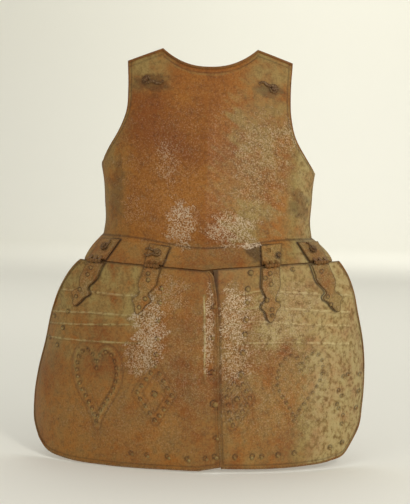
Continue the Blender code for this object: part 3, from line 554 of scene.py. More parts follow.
def rusted_iron(name, dust_and_highlight=0.0, specks_and_highlight=0.0, grain_mm=1.5, depth=1.0, base=RUST_RED, stain=RUST_ORANGE):
    """Rust over pitted iron: noise of five sizes, then the wear and the painted light and shade that are
    stored on the piece.

    The dust and the shine arguments, 0 to 1, are the least that the whole piece has. Stored dust from 1 to
    2 turns pale: a painted highlight along a ridge. Stored shine lays pale specks, bare iron that also
    paints highlights, and stored grime lays a dark colour that is mostly painted shade. Rust is dull and
    no metal, and only the specks are bare iron.
    grain_mm is the size of the pits. Real ones are under a millimetre, and they are drawn a
    little coarser so that they show.
    """
    material = bpy.data.materials.new(name)
    material.use_nodes = True
    tree = material.node_tree
    shader = tree.nodes["Principled BSDF"]
    where = add(tree, "ShaderNodeTexCoord").outputs["Object"]
    sizes_mm = {
        "stains": (70, 5), "blots": (14, 5), "mottle": (4, 3), "grain": (grain_mm, 2),
        "flecks": (0.75 * grain_mm, 1),
    }
    pattern = {}
    for number, (word, (size, detail)) in enumerate(sizes_mm.items()):
        shift = {"Location": (3.1 * number, 1.7 * number, 0.9 * number)}
        moved = add(tree, "ShaderNodeMapping", shift, Vector=where).outputs[0]
        settings = {"Scale": 1000.0 / size / 2.0, "Detail": detail, "Roughness": 0.6}
        pattern[word] = add(tree, "ShaderNodeTexNoise", settings, Vector=moved).outputs["Fac"]
    stored = add(tree, "ShaderNodeAttribute", {"attribute_name": "wear_and_light"})
    wear_and_light = add(tree, "ShaderNodeSeparateColor", Color=stored.outputs["Color"])
    stored_dust_and_highlight, stored_specks_and_highlight, pattern["grime_and_shade"] = (wear_and_light.outputs[k] for k in range(3))
    settings = {"operation": "MAXIMUM", 1: dust_and_highlight, "use_clamp": True}
    dust_and_highlight_amount = add(tree, "ShaderNodeMath", settings, in_0=stored_dust_and_highlight).outputs[0]
    settings = {"From Min": 0.66, "From Max": 0.40}
    broken = add(tree, "ShaderNodeMapRange", settings, Value=pattern["mottle"]).outputs[0]
    settings = {"operation": "SUBTRACT", 1: 1.0, "use_clamp": True}
    above_one = add(tree, "ShaderNodeMath", settings, in_0=stored_dust_and_highlight).outputs[0]
    settings = {"operation": "MULTIPLY"}
    ridge = add(tree, "ShaderNodeMath", settings, in_0=above_one, in_1=broken)
    pattern["ridge"] = ridge.outputs[0]
    settings = {"operation": "MAXIMUM", 1: specks_and_highlight}
    specks_and_highlight_amount = add(tree, "ShaderNodeMath", settings, in_0=stored_specks_and_highlight).outputs[0]
    settings = {"operation": "MULTIPLY_ADD", 1: 0.15}
    level = add(tree, "ShaderNodeMath", settings, in_0=specks_and_highlight_amount, in_2=pattern["flecks"]).outputs[0]
    settings = {"operation": "MULTIPLY_ADD", 1: 0.22, 2: -0.11}
    clouds = add(tree, "ShaderNodeMath", settings, in_0=pattern["blots"]).outputs[0]
    level = add(tree, "ShaderNodeMath", {"operation": "ADD"}, in_0=level, in_1=clouds)
    pattern["level"] = level.outputs[0]

    # Each layer: its pattern, from and to, its most, where it is laid, and its colour.
    layers = (
        ("stains", 0.38, 0.60, 1.0, None, stain),
        ("blots", 0.52, 0.78, 0.45, None, RUST_DARK),
        ("mottle", 0.50, 0.72, 0.35, None, RUST_DARK),
        ("blots", 0.30, 0.58, 1.0, dust_and_highlight_amount, DUST),
        ("mottle", 0.48, 0.66, 0.8, dust_and_highlight_amount, OLD_DUST),
        ("grain", 0.50, 0.74, 0.42, None, RUST_DARK),
        ("grain", 0.48, 0.28, 0.30, None, DUST),
        ("level", 0.58, 0.44, 0.70, specks_and_highlight_amount, RUST_DARK),
        # Pale where stored dust passes 1: a painted highlight along raised lines, and paler dust.
        ("ridge", 0.0, 1.0, 1.0, None, PALE_DUST_AND_HIGHLIGHT),
        # Dark where stored grime lies: mostly painted shade in creases, grooves, round rivets and beside
        # raised plates.
        ("grime_and_shade", 0.0, 1.0, 1.0, None, GRIME_AND_SHADE),
        # Pale specks where stored shine lies: bare iron, and painted highlights as well.
        ("level", 0.57, 0.80, 1.0, specks_and_highlight_amount, BRIGHT),
    )
    colour = None
    for word, low, high, most, where_laid, code in layers:
        settings = {"From Min": low, "From Max": high, "To Min": 0.0, "To Max": most}
        amount = add(tree, "ShaderNodeMapRange", settings, Value=pattern[word]).outputs[0]
        if where_laid:
            settings = {"operation": "MULTIPLY"}
            amount = add(tree, "ShaderNodeMath", settings, in_0=amount, in_1=where_laid).outputs[0]
        settings = {"data_type": "RGBA", 6: linear(base), 7: linear(code)}
        mixed = add(tree, "ShaderNodeMix", settings, in_0=amount)
        if colour:
            tree.links.new(colour, mixed.inputs[6])
        colour = mixed.outputs[2]
    tree.links.new(colour, shader.inputs["Base Color"])
    metal = add(tree, "ShaderNodeMapRange", {"To Min": 0.05, "To Max": 0.55}, Value=amount)
    tree.links.new(metal.outputs[0], shader.inputs["Metallic"])
    rough = add(tree, "ShaderNodeMapRange", {"To Min": 0.60, "To Max": 0.38}, Value=amount)
    tree.links.new(rough.outputs[0], shader.inputs["Roughness"])
    shader.inputs["Specular IOR Level"].default_value = 0.22
    shader.inputs["Coat Weight"].default_value = 0.04
    shader.inputs["Coat Roughness"].default_value = 0.35
    settings = {"Strength": 0.40, "Distance": 0.0012 * depth}
    soft = add(tree, "ShaderNodeBump", settings, Height=pattern["blots"]).outputs[0]
    settings = {"Strength": 0.70, "Distance": 0.0006 * depth}
    pits = add(tree, "ShaderNodeBump", settings, Height=pattern["grain"], Normal=soft)
    tree.links.new(pits.outputs[0], shader.inputs["Normal"])
    return material


# Forged sheet, rusted and then oiled: a warm crust, dull dust, and pale specks that are rubbed bare iron
# and painted highlights.
sheet_rust = rusted_iron("oiled_rusted_sheet_iron")
# Forged hinge plates, handled less than the sheet: duller, with dust all over them.
fitting_rust = rusted_iron("rusted_hinge_iron", dust_and_highlight=0.35, grain_mm=1.4)
# Hammered rivet heads, which stand proud: paler than the sheet, with pale specks that are bare iron and
# painted highlights.
rivet_rust = rusted_iron("rusted_rivet_iron", dust_and_highlight=0.75, specks_and_highlight=0.25, grain_mm=1.2, stain=DUST)
# Bars, studs and pins that metal slides on: dark and greasy, with small glints painted as pale specks.
dark_rust = rusted_iron("dark_rusted_iron", specks_and_highlight=0.35, grain_mm=1.3, base="#54361a", stain="#6e5028")
print("rust runs from", RUST_DARK, "to", RUST_ORANGE)

# %% [markdown]
# Four hinges join the flange and the tassets. The sheet gets dark lines of painted shadow round their
# leaves, strongest on the edges that face the centre, so their places come first. Wear, painted light and
# painted shade are laid in soft ovals with ragged borders. They could be painted with a brush in Blender,
# but written down as places in mm they can be moved.

# %% Hinge places and patches of wear, painted light and painted shade
CHEST_ROWS, HALF_COLUMNS, FLANGE_ROWS = (66, 99), 91, 26
# Hinge: number, place across, lean of its leaf, lean of its strap, length of its strap.
HINGES = (
    (1, -0.1795, -0.62, -0.46, 0.078), (2, -0.0825, -0.26, -0.30, 0.080),
    (3, 0.1083, 0.02, 0.02, 0.092), (4, 0.1870, 0.56, 0.40, 0.084),
)
LEAF_FOOT, LEAF_HEIGHT, LEAF_REACH, LEAF_HALF = 0.0012, 0.034, 0.042, (0.0148, 0.0165)


def patch(x, z, centre_x, centre_z, half_x, half_z):
    """A soft oval with a ragged border: 1 in its middle and 0 outside it."""
    x = x + 0.16 * half_x * (np.sin(z / 5.3 + centre_x) + np.sin(z / 2.9 + x / 4.1))
    z = z + 0.14 * half_z * (np.sin(x / 4.7 + centre_z) + np.sin(x / 2.3 - z / 6.1))
    far = ((x - centre_x) / half_x) ** 2 + ((z - centre_z) / half_z) ** 2
    return ease(1.4 - far)


def patches(x, z, rows):
    """The strongest of several soft ovals. Each row: its most, its centre, its half sizes."""
    return np.maximum.reduce([most * patch(x, z, *oval) for most, *oval in rows])


def laid(values, most, far, width):
    """Lay a soft mark over values: its most where far is 0, and nothing past its width."""
    return np.maximum(values, most * ease(1 - far / width))


def leaf_line(x, lean, margin=0.0):
    """Outline of a hinge leaf on the flange: places across and heights above the pin, in mm."""
    wide = np.array(LEAF_HALF) + margin
    low, high = LEAF_FOOT - margin, LEAF_HEIGHT + margin
    foot, top = x - lean * low, x - lean * high
    corners = [(foot - wide[0], low), (top - wide[1], high), (top + wide[1], high), (foot + wide[0], low)]
    return np.array(corners + corners[:1]) * 1000


print("hinges at", [hinge[1] for hinge in HINGES])

# %% [markdown]
# The breastplate is one sheet from the neck to the flange. The neck is rolled over a wire,
# the armholes are rolled more narrowly, and the waist is a sharp crease. Chest and flange are
# two formulas whose grids share the crease's columns, so they are stacked into one grid, and
# one sheet is made from it. A thin lip hangs behind the flange's edge, where the tassets' tops
# lap over each other on the real one.

# %% Breastplate
BREAST_THICK, BREAST_ROLL, NECK_LINE, NECK_GROOVE = 0.0020, 0.0024, 9.0, 6.3
LIP_BACK, LIP_HALF, LIP_DEEP, LIP_DEEPER = 0.0019, 0.0005, 0.0044, 0.0060
LIP_MIDDLE, LIP_REACH = 0.015, 0.020

chest, waist = chest_face(*CHEST_ROWS, HALF_COLUMNS)
up = np.linspace(0, 1, FLANGE_ROWS + 1)[:-1, None]
flange = flange_point(waist[None, :], up)
body_grid = np.concatenate([flange, chest])
rows, columns = body_grid.shape[:2]
hole_rows = ease((np.arange(rows) - FLANGE_ROWS - CHEST_ROWS[0]) / 6.0) * 0.55
rolled = {"bottom": np.zeros(columns), "top": np.ones(columns), "left": hole_rows, "right": hole_rows}
X, Z = body_grid[..., 0] * 1000, body_grid[..., 2] * 1000
from_neck = near_path(body_grid, body_grid[-1]) * 1000
from_sides = [near_path(body_grid, body_grid[FLANGE_ROWS:, k]) for k in (0, -1)]
from_holes = np.minimum(*from_sides) * 1000
hammered = 0.35 * np.sin(X / 31.0 + 1.3) * np.sin(Z / 37.0) + 0.2 * np.sin(X / 17.0 + Z / 23.0)
hammered = hammered + 0.5 * np.exp(-(((from_neck - NECK_LINE) / 1.6) ** 2))
hammered = hammered - 0.35 * np.exp(-(((from_neck - NECK_GROOVE) / 1.2) ** 2))
low = body_grid[0]
backwards = np.cross([0, 0, 1.0], np.gradient(low, axis=0) * [1, 1, 0])
backwards /= np.linalg.norm(backwards, axis=-1, keepdims=True)
ends = ease(np.linspace(0, 12, columns)) * ease(np.linspace(12, 0, columns))
deep = LIP_DEEP + LIP_DEEPER * np.exp(-(((low[:, 0] - LIP_MIDDLE) / LIP_REACH) ** 2))
middle = low + backwards * LIP_BACK + [0, 0, 0.0009] - deep[:, None] * [0, 0, 1]
lip = bar(middle, backwards, np.array([0, 0, 1.0]), LIP_HALF * ends + 0.0001, deep * ends + 0.0001)
breast_body = sheet(body_grid, BREAST_THICK, rolled, BREAST_ROLL, hammered * 0.001)
points, faces = joined([breast_body, lip])
breast = make("breast_sheet", points, faces, sheet_rust, "breast")

# %% [markdown]
# Dust has settled on the shoulders and the left side, and on that side it passes 1 and turns paler still.
# The belly, the middle of the chest and the crease get pale specks, bare iron that also paints the
# highlights of the lamps. Painted shade darkens the crease, a groove inside the roll of the neck, a line
# beside the rolls of the armholes and the flange round the hinges, most on the edges that face the centre
# and beside the third leaf. Darker patches lie low on both sides, and stains round the hooks. Each is a
# value for every point, mostly from 0 to 1.
# The places are in mm, read off the armour.

# %% Wear and painted light of the breastplate
dust_and_highlight_amount = np.maximum.reduce([
    0.85 * ease((Z - 112) / 45) * ease((np.abs(X) - 45) / 45), 0.55 * ease((np.abs(X) - 118) / 45),
    0.50 * ease((-118 - Z) / 12) * (0.7 + 0.9 * ease((X - 60) / 60)), 1.35 * ease((X - 112) / 50),
    patches(X, Z, ((0.70, 92, 70, 60, 90), (0.45, 70, -20, 60, 70), (0.90, 75, -85, 45, 42))),
])
dust_and_highlight_amount = laid(dust_and_highlight_amount, 0.60, from_holes, 9.0)
# Dust along the raised neck line, which also paints its highlight.
dust_and_highlight_amount = laid(dust_and_highlight_amount, 0.50, np.abs(from_neck - NECK_LINE), 3.0)
# Painted highlights: pale specks of bare iron laid where the lamps' highlights fall, with a sharp one on
# the crease and fewer along the centre line.
specks_and_highlight_amount = patches(X, Z, (
    (1.00, -40, -92, 26, 42), (0.95, 40, -100, 46, 30), (0.62, -66, 8, 22, 44),
    (0.55, 85, 10, 52, 85), (0.62, 128, 52, 26, 32), (0.30, 0, -10, 160, 150),
    (1.15, 72, -126, 18, 5), (0.50, -120, -70, 20, 30),
))
specks_and_highlight_amount = specks_and_highlight_amount * (1.0 - 0.5 * np.exp(-(((X + 4) / 6.0) ** 2)))
crease_z = 1000 * crease_height(np.clip(X / 1000 / CREASE_HALF, -1, 1))
# Painted shade along the crease, left out under the crease's highlight.
crease_highlight_span = 0.8 * ease((X - 30) / 12) * ease((95 - X) / 12)
grime_and_shade_amount = 0.60 * ease(1 - np.abs(Z - crease_z + 1.5) / 3.2) * (1.0 - crease_highlight_span)
# Painted shade in the groove inside the neck's roll and at the foot of the armholes' rolls, and two darker
# patches low on the sides.
grime_and_shade_amount = laid(grime_and_shade_amount, 0.60, np.abs(from_neck - NECK_GROOVE), 1.6)
grime_and_shade_amount = laid(grime_and_shade_amount, 0.50, np.abs(from_holes - 3.4), 2.2)
grime_and_shade_amount = np.maximum(grime_and_shade_amount, 0.35 * patch(X, Z, 152, -58, 16, 26) + 0.30 * patch(X, Z, -150, -40, 12, 60))
hook_stains = ((-94, 141, 34, 0.42), (100, 132, 26, 0.42), (104, 122, 10, 0.35), (-90, 118, 12, 0.25))
for centre_x, centre_z, reach, most in hook_stains:
    grime_and_shade_amount = np.maximum(grime_and_shade_amount, most * patch(X, Z, centre_x, centre_z, reach, 0.42 * reach))
# Painted shadow round each hinge leaf, darker and wider on the edge that faces the centre, and a painted
# shadow on the flange beside the third leaf.
above_crease = Z[FLANGE_ROWS:] - crease_z[FLANGE_ROWS:]
height = np.concatenate([up + 0 * waist[None, :], 1.0 + above_crease / (1000 * LEAF_REACH)])
height = height * 1000 * LEAF_REACH
for _, x, lean, _, _ in HINGES:
    far = near_path(np.stack([X, height], -1), leaf_line(x, lean, 0.0009))
    towards_centre = ease(0.5 - np.sign(x) * (X - 1000 * x + lean * height) / 14.0)
    grime_and_shade_amount = laid(grime_and_shade_amount, 0.40 + 0.58 * towards_centre, far, 2.2 + 1.2 * towards_centre)
grime_and_shade_amount = np.maximum(grime_and_shade_amount, 0.60 * patch(X, height, 84, 26, 15, 22) * (height < 42))
paint(breast, dust_and_highlight_amount, specks_and_highlight_amount, np.minimum(grime_and_shade_amount, 1.0))
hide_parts("breastplate")

# %% [markdown]
# Each tasset is one sheet that hangs from the flange and covers a thigh. Seen from above it
# starts with the flange's curve and opens into a rounder bow. Its outline is cut by four
# edges: top, hem, inner edge and free edge. A plane could be trimmed to them, but a grid that
# is filled in between follows them without a jagged border.

# %% Tasset surface
TASSET_GRID = (181, 171)


def tasset_edge(drop, side):
    """From the centre line out to the free edge: the top's, plus a share of the spread left."""
    share = through(drop, TASSET_LINE, 1 if side < 0 else 2)
    return TASSET_TOP[side] + (TASSET_SPREAD - TASSET_TOP[side]) * share


def tasset_half(drop, side):
    """Half-width of the full plan section: the free edge lies 80 to 87 degrees round it."""
    places = np.linspace(0, TASSET_LINE[-1][0], 101)
    width = np.interp(drop, places, np.maximum.accumulate(tasset_edge(places, side)))
    full = width / math.sin(math.radians(80))
    opened = FLANGE_SPAN + (full - FLANGE_SPAN) * np.clip(drop / 0.14, 0, 1)
    return np.maximum(opened, width / math.sin(math.radians(87)))


def tasset_point(x, drop, side):
    """The face of a tasset: it leaves the flange's curve and opens into a rounder bow."""
    x, drop = np.broadcast_arrays(np.asarray(x, float), np.asarray(drop, float))
    turn = ease(drop / 0.5)
    front = FLANGE_FRONT - 0.0034 - 0.018 * (1.0 - (1.0 - np.clip(drop, 0, 1)) ** 2.4)
    depth = FLANGE_DEPTH + (TASSET_WRAP - FLANGE_DEPTH) * turn
    y = front + depth * bow(x / tasset_half(drop, side), 1.6 + 0.2 * turn, 1.2 + 0.8 * turn)
    if side < 0:
        y = y - 0.0043 * ease((x + 0.060) / 0.060)
    return np.stack([x, y, edge_height(x) - 0.001 - drop * TASSET_DROP], -1)


def tasset_face(side):
    """Rows from the hem up and columns from right to left between its four edge curves."""
    rows, columns = TASSET_GRID
    column = 1 if side < 0 else 2
    t = np.linspace(0, 1, columns)
    low = through(t, HEM_LINE, column)
    inner_drop, outer_drop = np.linspace(low[0], 0, rows), np.linspace(low[-1], 0, rows)
    inner_x = through(inner_drop, INNER_LINE, column)
    outer_x = side * tasset_edge(outer_drop, side)
    inner = np.stack([np.arcsin(inner_x / tasset_half(inner_drop, side)), inner_drop], -1)
    outer_share = np.clip(outer_x / tasset_half(outer_drop, side), -0.9999, 0.9999)
    outer = np.stack([np.arcsin(outer_share), outer_drop], -1)
    bottom = np.stack([(1 - t) * inner[0, 0] + t * outer[0, 0], low], -1)
    top = np.stack([(1 - t) * inner[-1, 0] + t * outer[-1, 0], np.zeros(columns)], -1)
    grid = filled(inner, outer, bottom, top)
    if side < 0:
        grid = grid[:, ::-1]
    drop = np.maximum(grid[..., 1], 0.0)
    x = tasset_half(drop, side) * np.sin(grid[..., 0])
    return tasset_point(x, drop, side), x * 1000, drop * 1000 * TASSET_DROP


print("a tasset is", round(TASSET_DROP * 1000), "mm high")

# %% [markdown]
# The smith hammered each tasset to look like lapping plates, so low steps run across its upper
# part, and raised a heart and a lozenge on it, all set with small rivets. Such ornament was
# common. Each line is kept as places in mm, across from the centre line and down from the
# flange, because relief, wear and rivets all follow it.


# %% Ornament lines
def heart_line(centre_x, top, width, height, lean=0.0):
    """A heart as 49 places: x = w sin^3 t, and a sum of four cosines down its height."""
    t = np.linspace(0, 2 * np.pi, 49)
    x = np.sin(t) ** 3
    y = (13 * np.cos(t) - 5 * np.cos(2 * t) - 2 * np.cos(3 * t) - np.cos(4 * t)) / 16
    down = (0.75 - y) / 1.82
    return np.stack([centre_x + width / 2 * x + lean * (down - 0.5), top + height * down], -1)


RIGHT_HEART = heart_line(-172, 141, 78, 130, 4)
LEFT_HEART = heart_line(158, 143, 84, 122, -14)
LOZENGES = {
    -1: ((-73, 161), (-44, 205), (-70, 250), (-103, 208), (-73, 161)),
    1: ((62, 177), (81, 214), (52, 256), (41, 200), (62, 177)),
}
LAMES = {
    -1: (((-245, 54), (-189, 52), (-128, 52), (-40, 42)), ((-267, 94), (-188, 86), (-127, 84), (-40, 72)),
         ((-265, 114), (-127, 99), (-80, 96)), ((-287, 139), (-126, 129), (-90, 126))),
    1: (((30, 48), (93, 39), (157, 47), (241, 58)), ((31, 68), (93, 66), (157, 74), (242, 87)),
        ((32, 91), (93, 89), (157, 98), (242, 110)), ((60, 122), (150, 127), (243, 140))),
}
print("heart line runs through", len(RIGHT_HEART), "places")

# %% [markdown]
# Rivets stand in rows where the real lames would be joined, and round the heart and the
# lozenge. The rows are uneven, as a smith spaces them by eye, so each has its own place. Those
# that follow a line are stepped along it.

# %% Rivet places
# Rivet: place across and down, and radius, in mm.
RIVETS = {
    -1: [
        (21.0, 59, 3.0), (18.3, 109, 2.6), (20.7, 165, 3.0), (25.1, 216, 4.4),
        (29.3, 271.5, 2.4), (28.2, 302, 2.8),
        (13.1, 304, 2.4), (-15.9, 306, 2.4), (-48.5, 306, 2.4), (-82.9, 307, 2.2), (-109.5, 307, 2.2),
        (-66.7, 35, 2.4), (-68.5, 58, 2.4), (-70.1, 87, 2.4), (-70.9, 116, 2.4), (-71.9, 142, 2.4),
        (-228.7, 89, 2.4), (-237.6, 118, 2.4), (-247.2, 148, 2.4), (-255.5, 101, 2.2), (-263.5, 139, 2.2),
        (-73.6, 206, 3.6),
    ],
    1: [
        (76.4, 9, 3.2), (72.2, 35, 3.2), (71.2, 56, 3.2), (71.0, 84, 3.2), (69.2, 108, 3.2),
        (66.7, 137, 3.2), (64.3, 172, 3.2), (58.8, 212, 3.0), (145.3, 8, 2.4), (57.8, 306, 2.8),
        (85.1, 308, 2.8), (100.4, 309, 2.4), (127, 309, 2.8), (153, 309, 2.4), (212.6, 308, 2.4),
        (233, 304, 2.4), (262.0, 195, 2.2), (261.0, 223, 2.2), (257.0, 250, 2.2),
        (226.2, 215, 1.9), (231.0, 225, 1.9), (223.5, 238, 1.9), (226.1, 245, 1.9),
        (233.4, 193, 1.9), (241.0, 191, 1.9), (234.0, 258, 1.9), (232.0, 272, 1.9),
    ],
}


def along_line(line, spacing):
    """Places at equal steps along a broken line."""
    line = np.array(line, float)
    far = np.concatenate([[0], np.cumsum(np.hypot(*np.diff(line, axis=0).T))])
    count = int(round(far[-1] / spacing))
    steps = np.linspace(0, far[-1], count + 1)[:-1]
    return np.stack([np.interp(steps, far, line[:, 0]), np.interp(steps, far, line[:, 1])], -1)


for side, heart, size in ((-1, RIGHT_HEART, 1.9), (1, LEFT_HEART, 1.5)):
    centre = heart.mean(0)
    inside = centre + (along_line(heart, 12.5) - centre) * 0.90
    RIVETS[side] += [(x, d, size) for x, d in inside]
    RIVETS[side] += [(x, d, 2.0) for x, d in along_line(LOZENGES[side], 13.0)]
print("rivets", {side: len(rows) for side, rows in RIVETS.items()})

# %% [markdown]
# The relief is less than 2 mm high, so it is added along the face's normals. A line's ridge is a bell
# curve of the distance to it. Two slow waves stand for the dents of the hammer. The straps of the hinges
# will cover part of it, and their outline is needed for the painted shade beside them.

# %% Relief of the tassets
STRAP_HEAD, STRAP_HALF = 0.0028, 0.0142
# Strap: share of its length, share of its half-width.
STRAP_LINE = (
    (0, 1.0), (0.20, 1.02), (0.36, 1.04), (0.46, 0.80), (0.54, 0.56), (0.60, 0.62),
    (0.66, 1.02), (0.73, 1.08), (0.79, 0.72), (0.87, 0.54), (0.95, 0.34), (1.0, 0.10),
)


def strap_line(x, lean, length, margin=0.0):
    """Outline of a hinge strap on a tasset, in mm across and down: a neck, two lobes, a tip."""
    share = np.linspace(0, 1, 40)
    below = STRAP_HEAD + (length - STRAP_HEAD) * share
    half = STRAP_HALF * through(share, STRAP_LINE) + margin
    left, right = x + lean * below - half, x + lean * below + half
    line = np.concatenate([np.stack([left, below], -1), np.stack([right, below], -1)[::-1]])
    return np.concatenate([line, line[:1]]) * 1000


def lame_fade(side, x):
    """The lines that imitate lames are strong at the sides and fade towards the centre."""
    return 0.25 + 0.75 * ease((np.abs(x) - (70 if side < 0 else 30)) / 80)


def tasset_relief(side, x, d):
    """Height in mm: lame lines, a pad under each lozenge, a raised heart band and dents."""
    places = np.stack([x, d], -1)
    height = 0.35 * np.sin(x / 33.0 + side) * np.sin(d / 29.0) + 0.18 * np.sin(x / 15.0 - d / 21.0)
    height = height * ease(d / 25.0)
    for line in LAMES[side]:
        height = height + 0.55 * lame_fade(side, x) * np.exp(-((near_path(places, line) / 1.5) ** 2))
    heart = near_path(places, RIGHT_HEART if side < 0 else LEFT_HEART)
    height = height + (1.5 if side < 0 else 0.5) * np.exp(-((heart / 4.0) ** 2))
    if side < 0:
        height = height - 0.5 * np.exp(-(((heart - 8.0) / 2.2) ** 2))
    height = height + 0.9 * np.exp(-((near_path(places, LOZENGES[side]) / 5.0) ** 2))
    if side < 0:
        strip = near_path(places, ((7.5, 60), (9.0, 110), (10.1, 167), (14.0, 216), (17.0, 300)))
        height = height + 1.0 * np.exp(-((strip / 1.5) ** 2)) * (1.0 - 0.6 * ease((d - 165) / 15))
    return height


print("a strap's outline has", len(strap_line(0.0, 0.0, HINGES[0][4])), "places")

# %% [markdown]
# Wear and painted light follow the shape: dust near the flange and on the outer side, pale specks of bare
# iron that also paint highlights, pale painted highlights on the lame lines, and painted shade round
# rivets, under lines, beside the raised ornament and beside the straps. The two tassets differ, as no two
# plates rust alike.


# %% Wear and painted light of the tassets
def tasset_wear_and_light(side, x, d, border):
    """Dust, shine and grime from distances in mm to edges, lines, rivets and straps: shine and grime run
    from 0 to 1, and dust to about 2. Dust past 1 paints pale highlights, shine lays bare specks that also
    paint highlights, and grime is mostly painted shade.
    """
    places = np.stack([x, d], -1)
    out = np.abs(x)
    if side < 0:
        dust_and_highlight = np.maximum.reduce([
            0.95 * ease((130 - d) / 50) * ease((out - 40) / 60),
            0.65 * ease((out - 140) / 60) * ease((210 - d) / 60), 0.32 + 0 * x,
        ])
        # Pale specks of bare iron laid where the lamps' highlights fall: painted highlights.
        specks_and_highlight = patches(x, d, (
            (1.00, -84, 100, 32, 55), (0.80, -100, 152, 30, 30), (0.90, 15, 105, 9, 80),
            (0.55, -50, 45, 36, 34), (0.30, -20, 150, 60, 110), (0.22, -120, 260, 130, 60),
        ))
    else:
        # Dust rises past 1 towards the outer edge, so that side turns paler still.
        dust_and_highlight = np.maximum.reduce([
            1.25 * ease((170 - d) / 60) * ease((x - 50) / 60), 1.5 * ease((x - 105) / 100), 0.50 + 0 * x,
        ])
        # Pale specks of bare iron laid where the lamps' highlights fall: painted highlights.
        specks_and_highlight = patches(x, d, (
            (0.90, 52, 80, 28, 55), (0.75, 55, 150, 32, 45), (0.50, 110, 100, 70, 60),
            (0.45, 150, 60, 40, 30), (0.34, 120, 190, 120, 110),
        ))
    heart = near_path(places, RIGHT_HEART if side < 0 else LEFT_HEART)
    lozenge = near_path(places, LOZENGES[side])
    dust_and_highlight = laid(dust_and_highlight, 0.85 if side < 0 else 0.5, heart, 4.5)
    dust_and_highlight = laid(dust_and_highlight, 0.5 if side < 0 else 0.4, lozenge, 5.0)
    # Painted shade under the flange's edge along the top, and along the foot of the rolled free edge.
    grime_and_shade = laid(0.75 * ease(1 - d / 4.0), 0.45, np.abs(border - 3.6), 2.4)
    # Painted shade round the foot of each rivet.
    for px, pd, size in RIVETS[side]:
        ring = np.abs(np.hypot(x - px, d - pd) - 1.1 * size - 0.4)
        grime_and_shade = laid(grime_and_shade, min(0.42 + 0.14 * size, 0.9), ring, 2.0)
    # Each lame line gets a pale painted highlight on its ridge and painted shade just below it.
    for line in LAMES[side]:
        ridge = lame_fade(side, x) * ease(1 - near_path(places, line) / 2.2)
        dust_and_highlight = np.where(ridge > 0.05, np.maximum(dust_and_highlight, np.minimum(1.0, 0.4 + ridge)) + 0.65 * ridge, dust_and_highlight)
        below = near_path(places, np.array(line) + (0, 2.8))
        grime_and_shade = laid(grime_and_shade, 0.22 * lame_fade(side, x), below, 1.6)
    # Painted shade in the grooves beside the raised heart and the lozenge's pad, and a dark spot low on
    # the right tasset.
    if side < 0:
        inner_half = 0.5 + 0.5 * ease((x + 175) / 20)
        grime_and_shade = laid(grime_and_shade, 0.45 * inner_half, np.abs(heart - 6.8), 2.4)
        grime_and_shade = laid(grime_and_shade, 0.85, np.hypot(x + 240, d - 270), 2.6)
    else:
        grime_and_shade = laid(grime_and_shade, 0.15, np.abs(heart - 5.0), 2.6)
    grime_and_shade = laid(grime_and_shade, 0.35, np.abs(lozenge - 7.5), 2.5)
    # Painted shadow round each hinge strap, darker and wider on the edge that faces the centre.
    for _, hinge_x, _, lean, length in HINGES:
        if hinge_x * side > 0:
            far = near_path(places, strap_line(hinge_x, lean, length, 0.0010))
            towards_centre = ease(0.5 - side * (x - 1000 * hinge_x - lean * d) / 10.0)
            grime_and_shade = laid(grime_and_shade, 0.30 + 0.62 * towards_centre, far, 1.9 + 1.0 * towards_centre)
    if side > 0:
        # Painted shade on the left tasset's inner edge, under the right tasset's lap.
        grime_and_shade = laid(grime_and_shade, 0.7, x - 22 - d / 40, 4.0)
    else:
        # A pale painted highlight along the raised strip beside the inner edge.
        strip = near_path(places, ((6.0, 40), (7.5, 80), (9.0, 130), (10.5, 175)))
        dust_and_highlight = np.where(strip < 1.8, 1.0 + 0.9 * ease(1 - strip / 1.8), dust_and_highlight)
    return dust_and_highlight, specks_and_highlight, np.minimum(grime_and_shade, 1.0)


print("wear is worked out for", TASSET_GRID[0] * TASSET_GRID[1], "points of each tasset")

# %% [markdown]
# Now both tassets are made. Their free edges are rolled over a wire, and their tops draw in
# behind the flange's edge, less so on the left one, which swings a little way back. Under the
# right one's inner roll runs a narrow lip, which closes the step down to the left one.

# %% Tassets
TASSET_THICK, TASSET_ROLL = 0.0018, 0.0017
TOP_DRAWN_IN, TOP_BAND_MM = {-1: 0.0020, 1: 0.0008}, 6.0
INNER_LIP_IN, INNER_LIP_BACK = 0.0019, 0.0034

for side, body in ((-1, "right_tasset"), (1, "left_tasset")):
    grid, x, d = tasset_face(side)
    rows, columns = grid.shape[:2]
    rolled = {"bottom": np.ones(columns), "top": np.zeros(columns)}
    rolled.update({"left": np.ones(rows), "right": np.ones(rows)})
    if side > 0:
        rolled["left"] = np.zeros(rows)
    free_edge = np.concatenate([grid[::-1, 0], grid[0, 1:], grid[1:, -1]])
    turned_in = ease(1 - d / TOP_BAND_MM)[..., None]
    shaped = grid - normals_of(grid) * TOP_DRAWN_IN[side] * turned_in
    parts = [sheet(shaped, TASSET_THICK, rolled, TASSET_ROLL, tasset_relief(side, x, d) * 0.001)]
    if side < 0:
        low = d[:, -1] > 12.0
        edge, out = grid[low, -1], normals_of(grid)[low, -1]
        inward = np.cross(out, np.gradient(edge, axis=0))
        inward /= np.linalg.norm(inward, axis=-1, keepdims=True)
        inward *= -np.sign(inward[:, :1])
        ends = ease(np.linspace(0, 1, len(edge)) * 8) * ease(np.linspace(1, 0, len(edge)) * 8)
        middle = edge + inward * INNER_LIP_IN - out * INNER_LIP_BACK
        parts.append(bar(middle, inward, out[:, None], 0.0008 * ends + 0.0001, 0.0024 * ends + 0.0001))
    points, faces = joined(parts)
    piece = make(body + "_sheet", points, faces, sheet_rust, body)
    dust_and_highlight, specks_and_highlight, grime_and_shade = tasset_wear_and_light(side, x, d, near_path(grid, free_edge) * 1000)
    paint(piece, dust_and_highlight, specks_and_highlight, grime_and_shade, rim=(0.45, 0.25, 0.20))
    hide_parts("tasset_right" if side < 0 else "tasset_left")

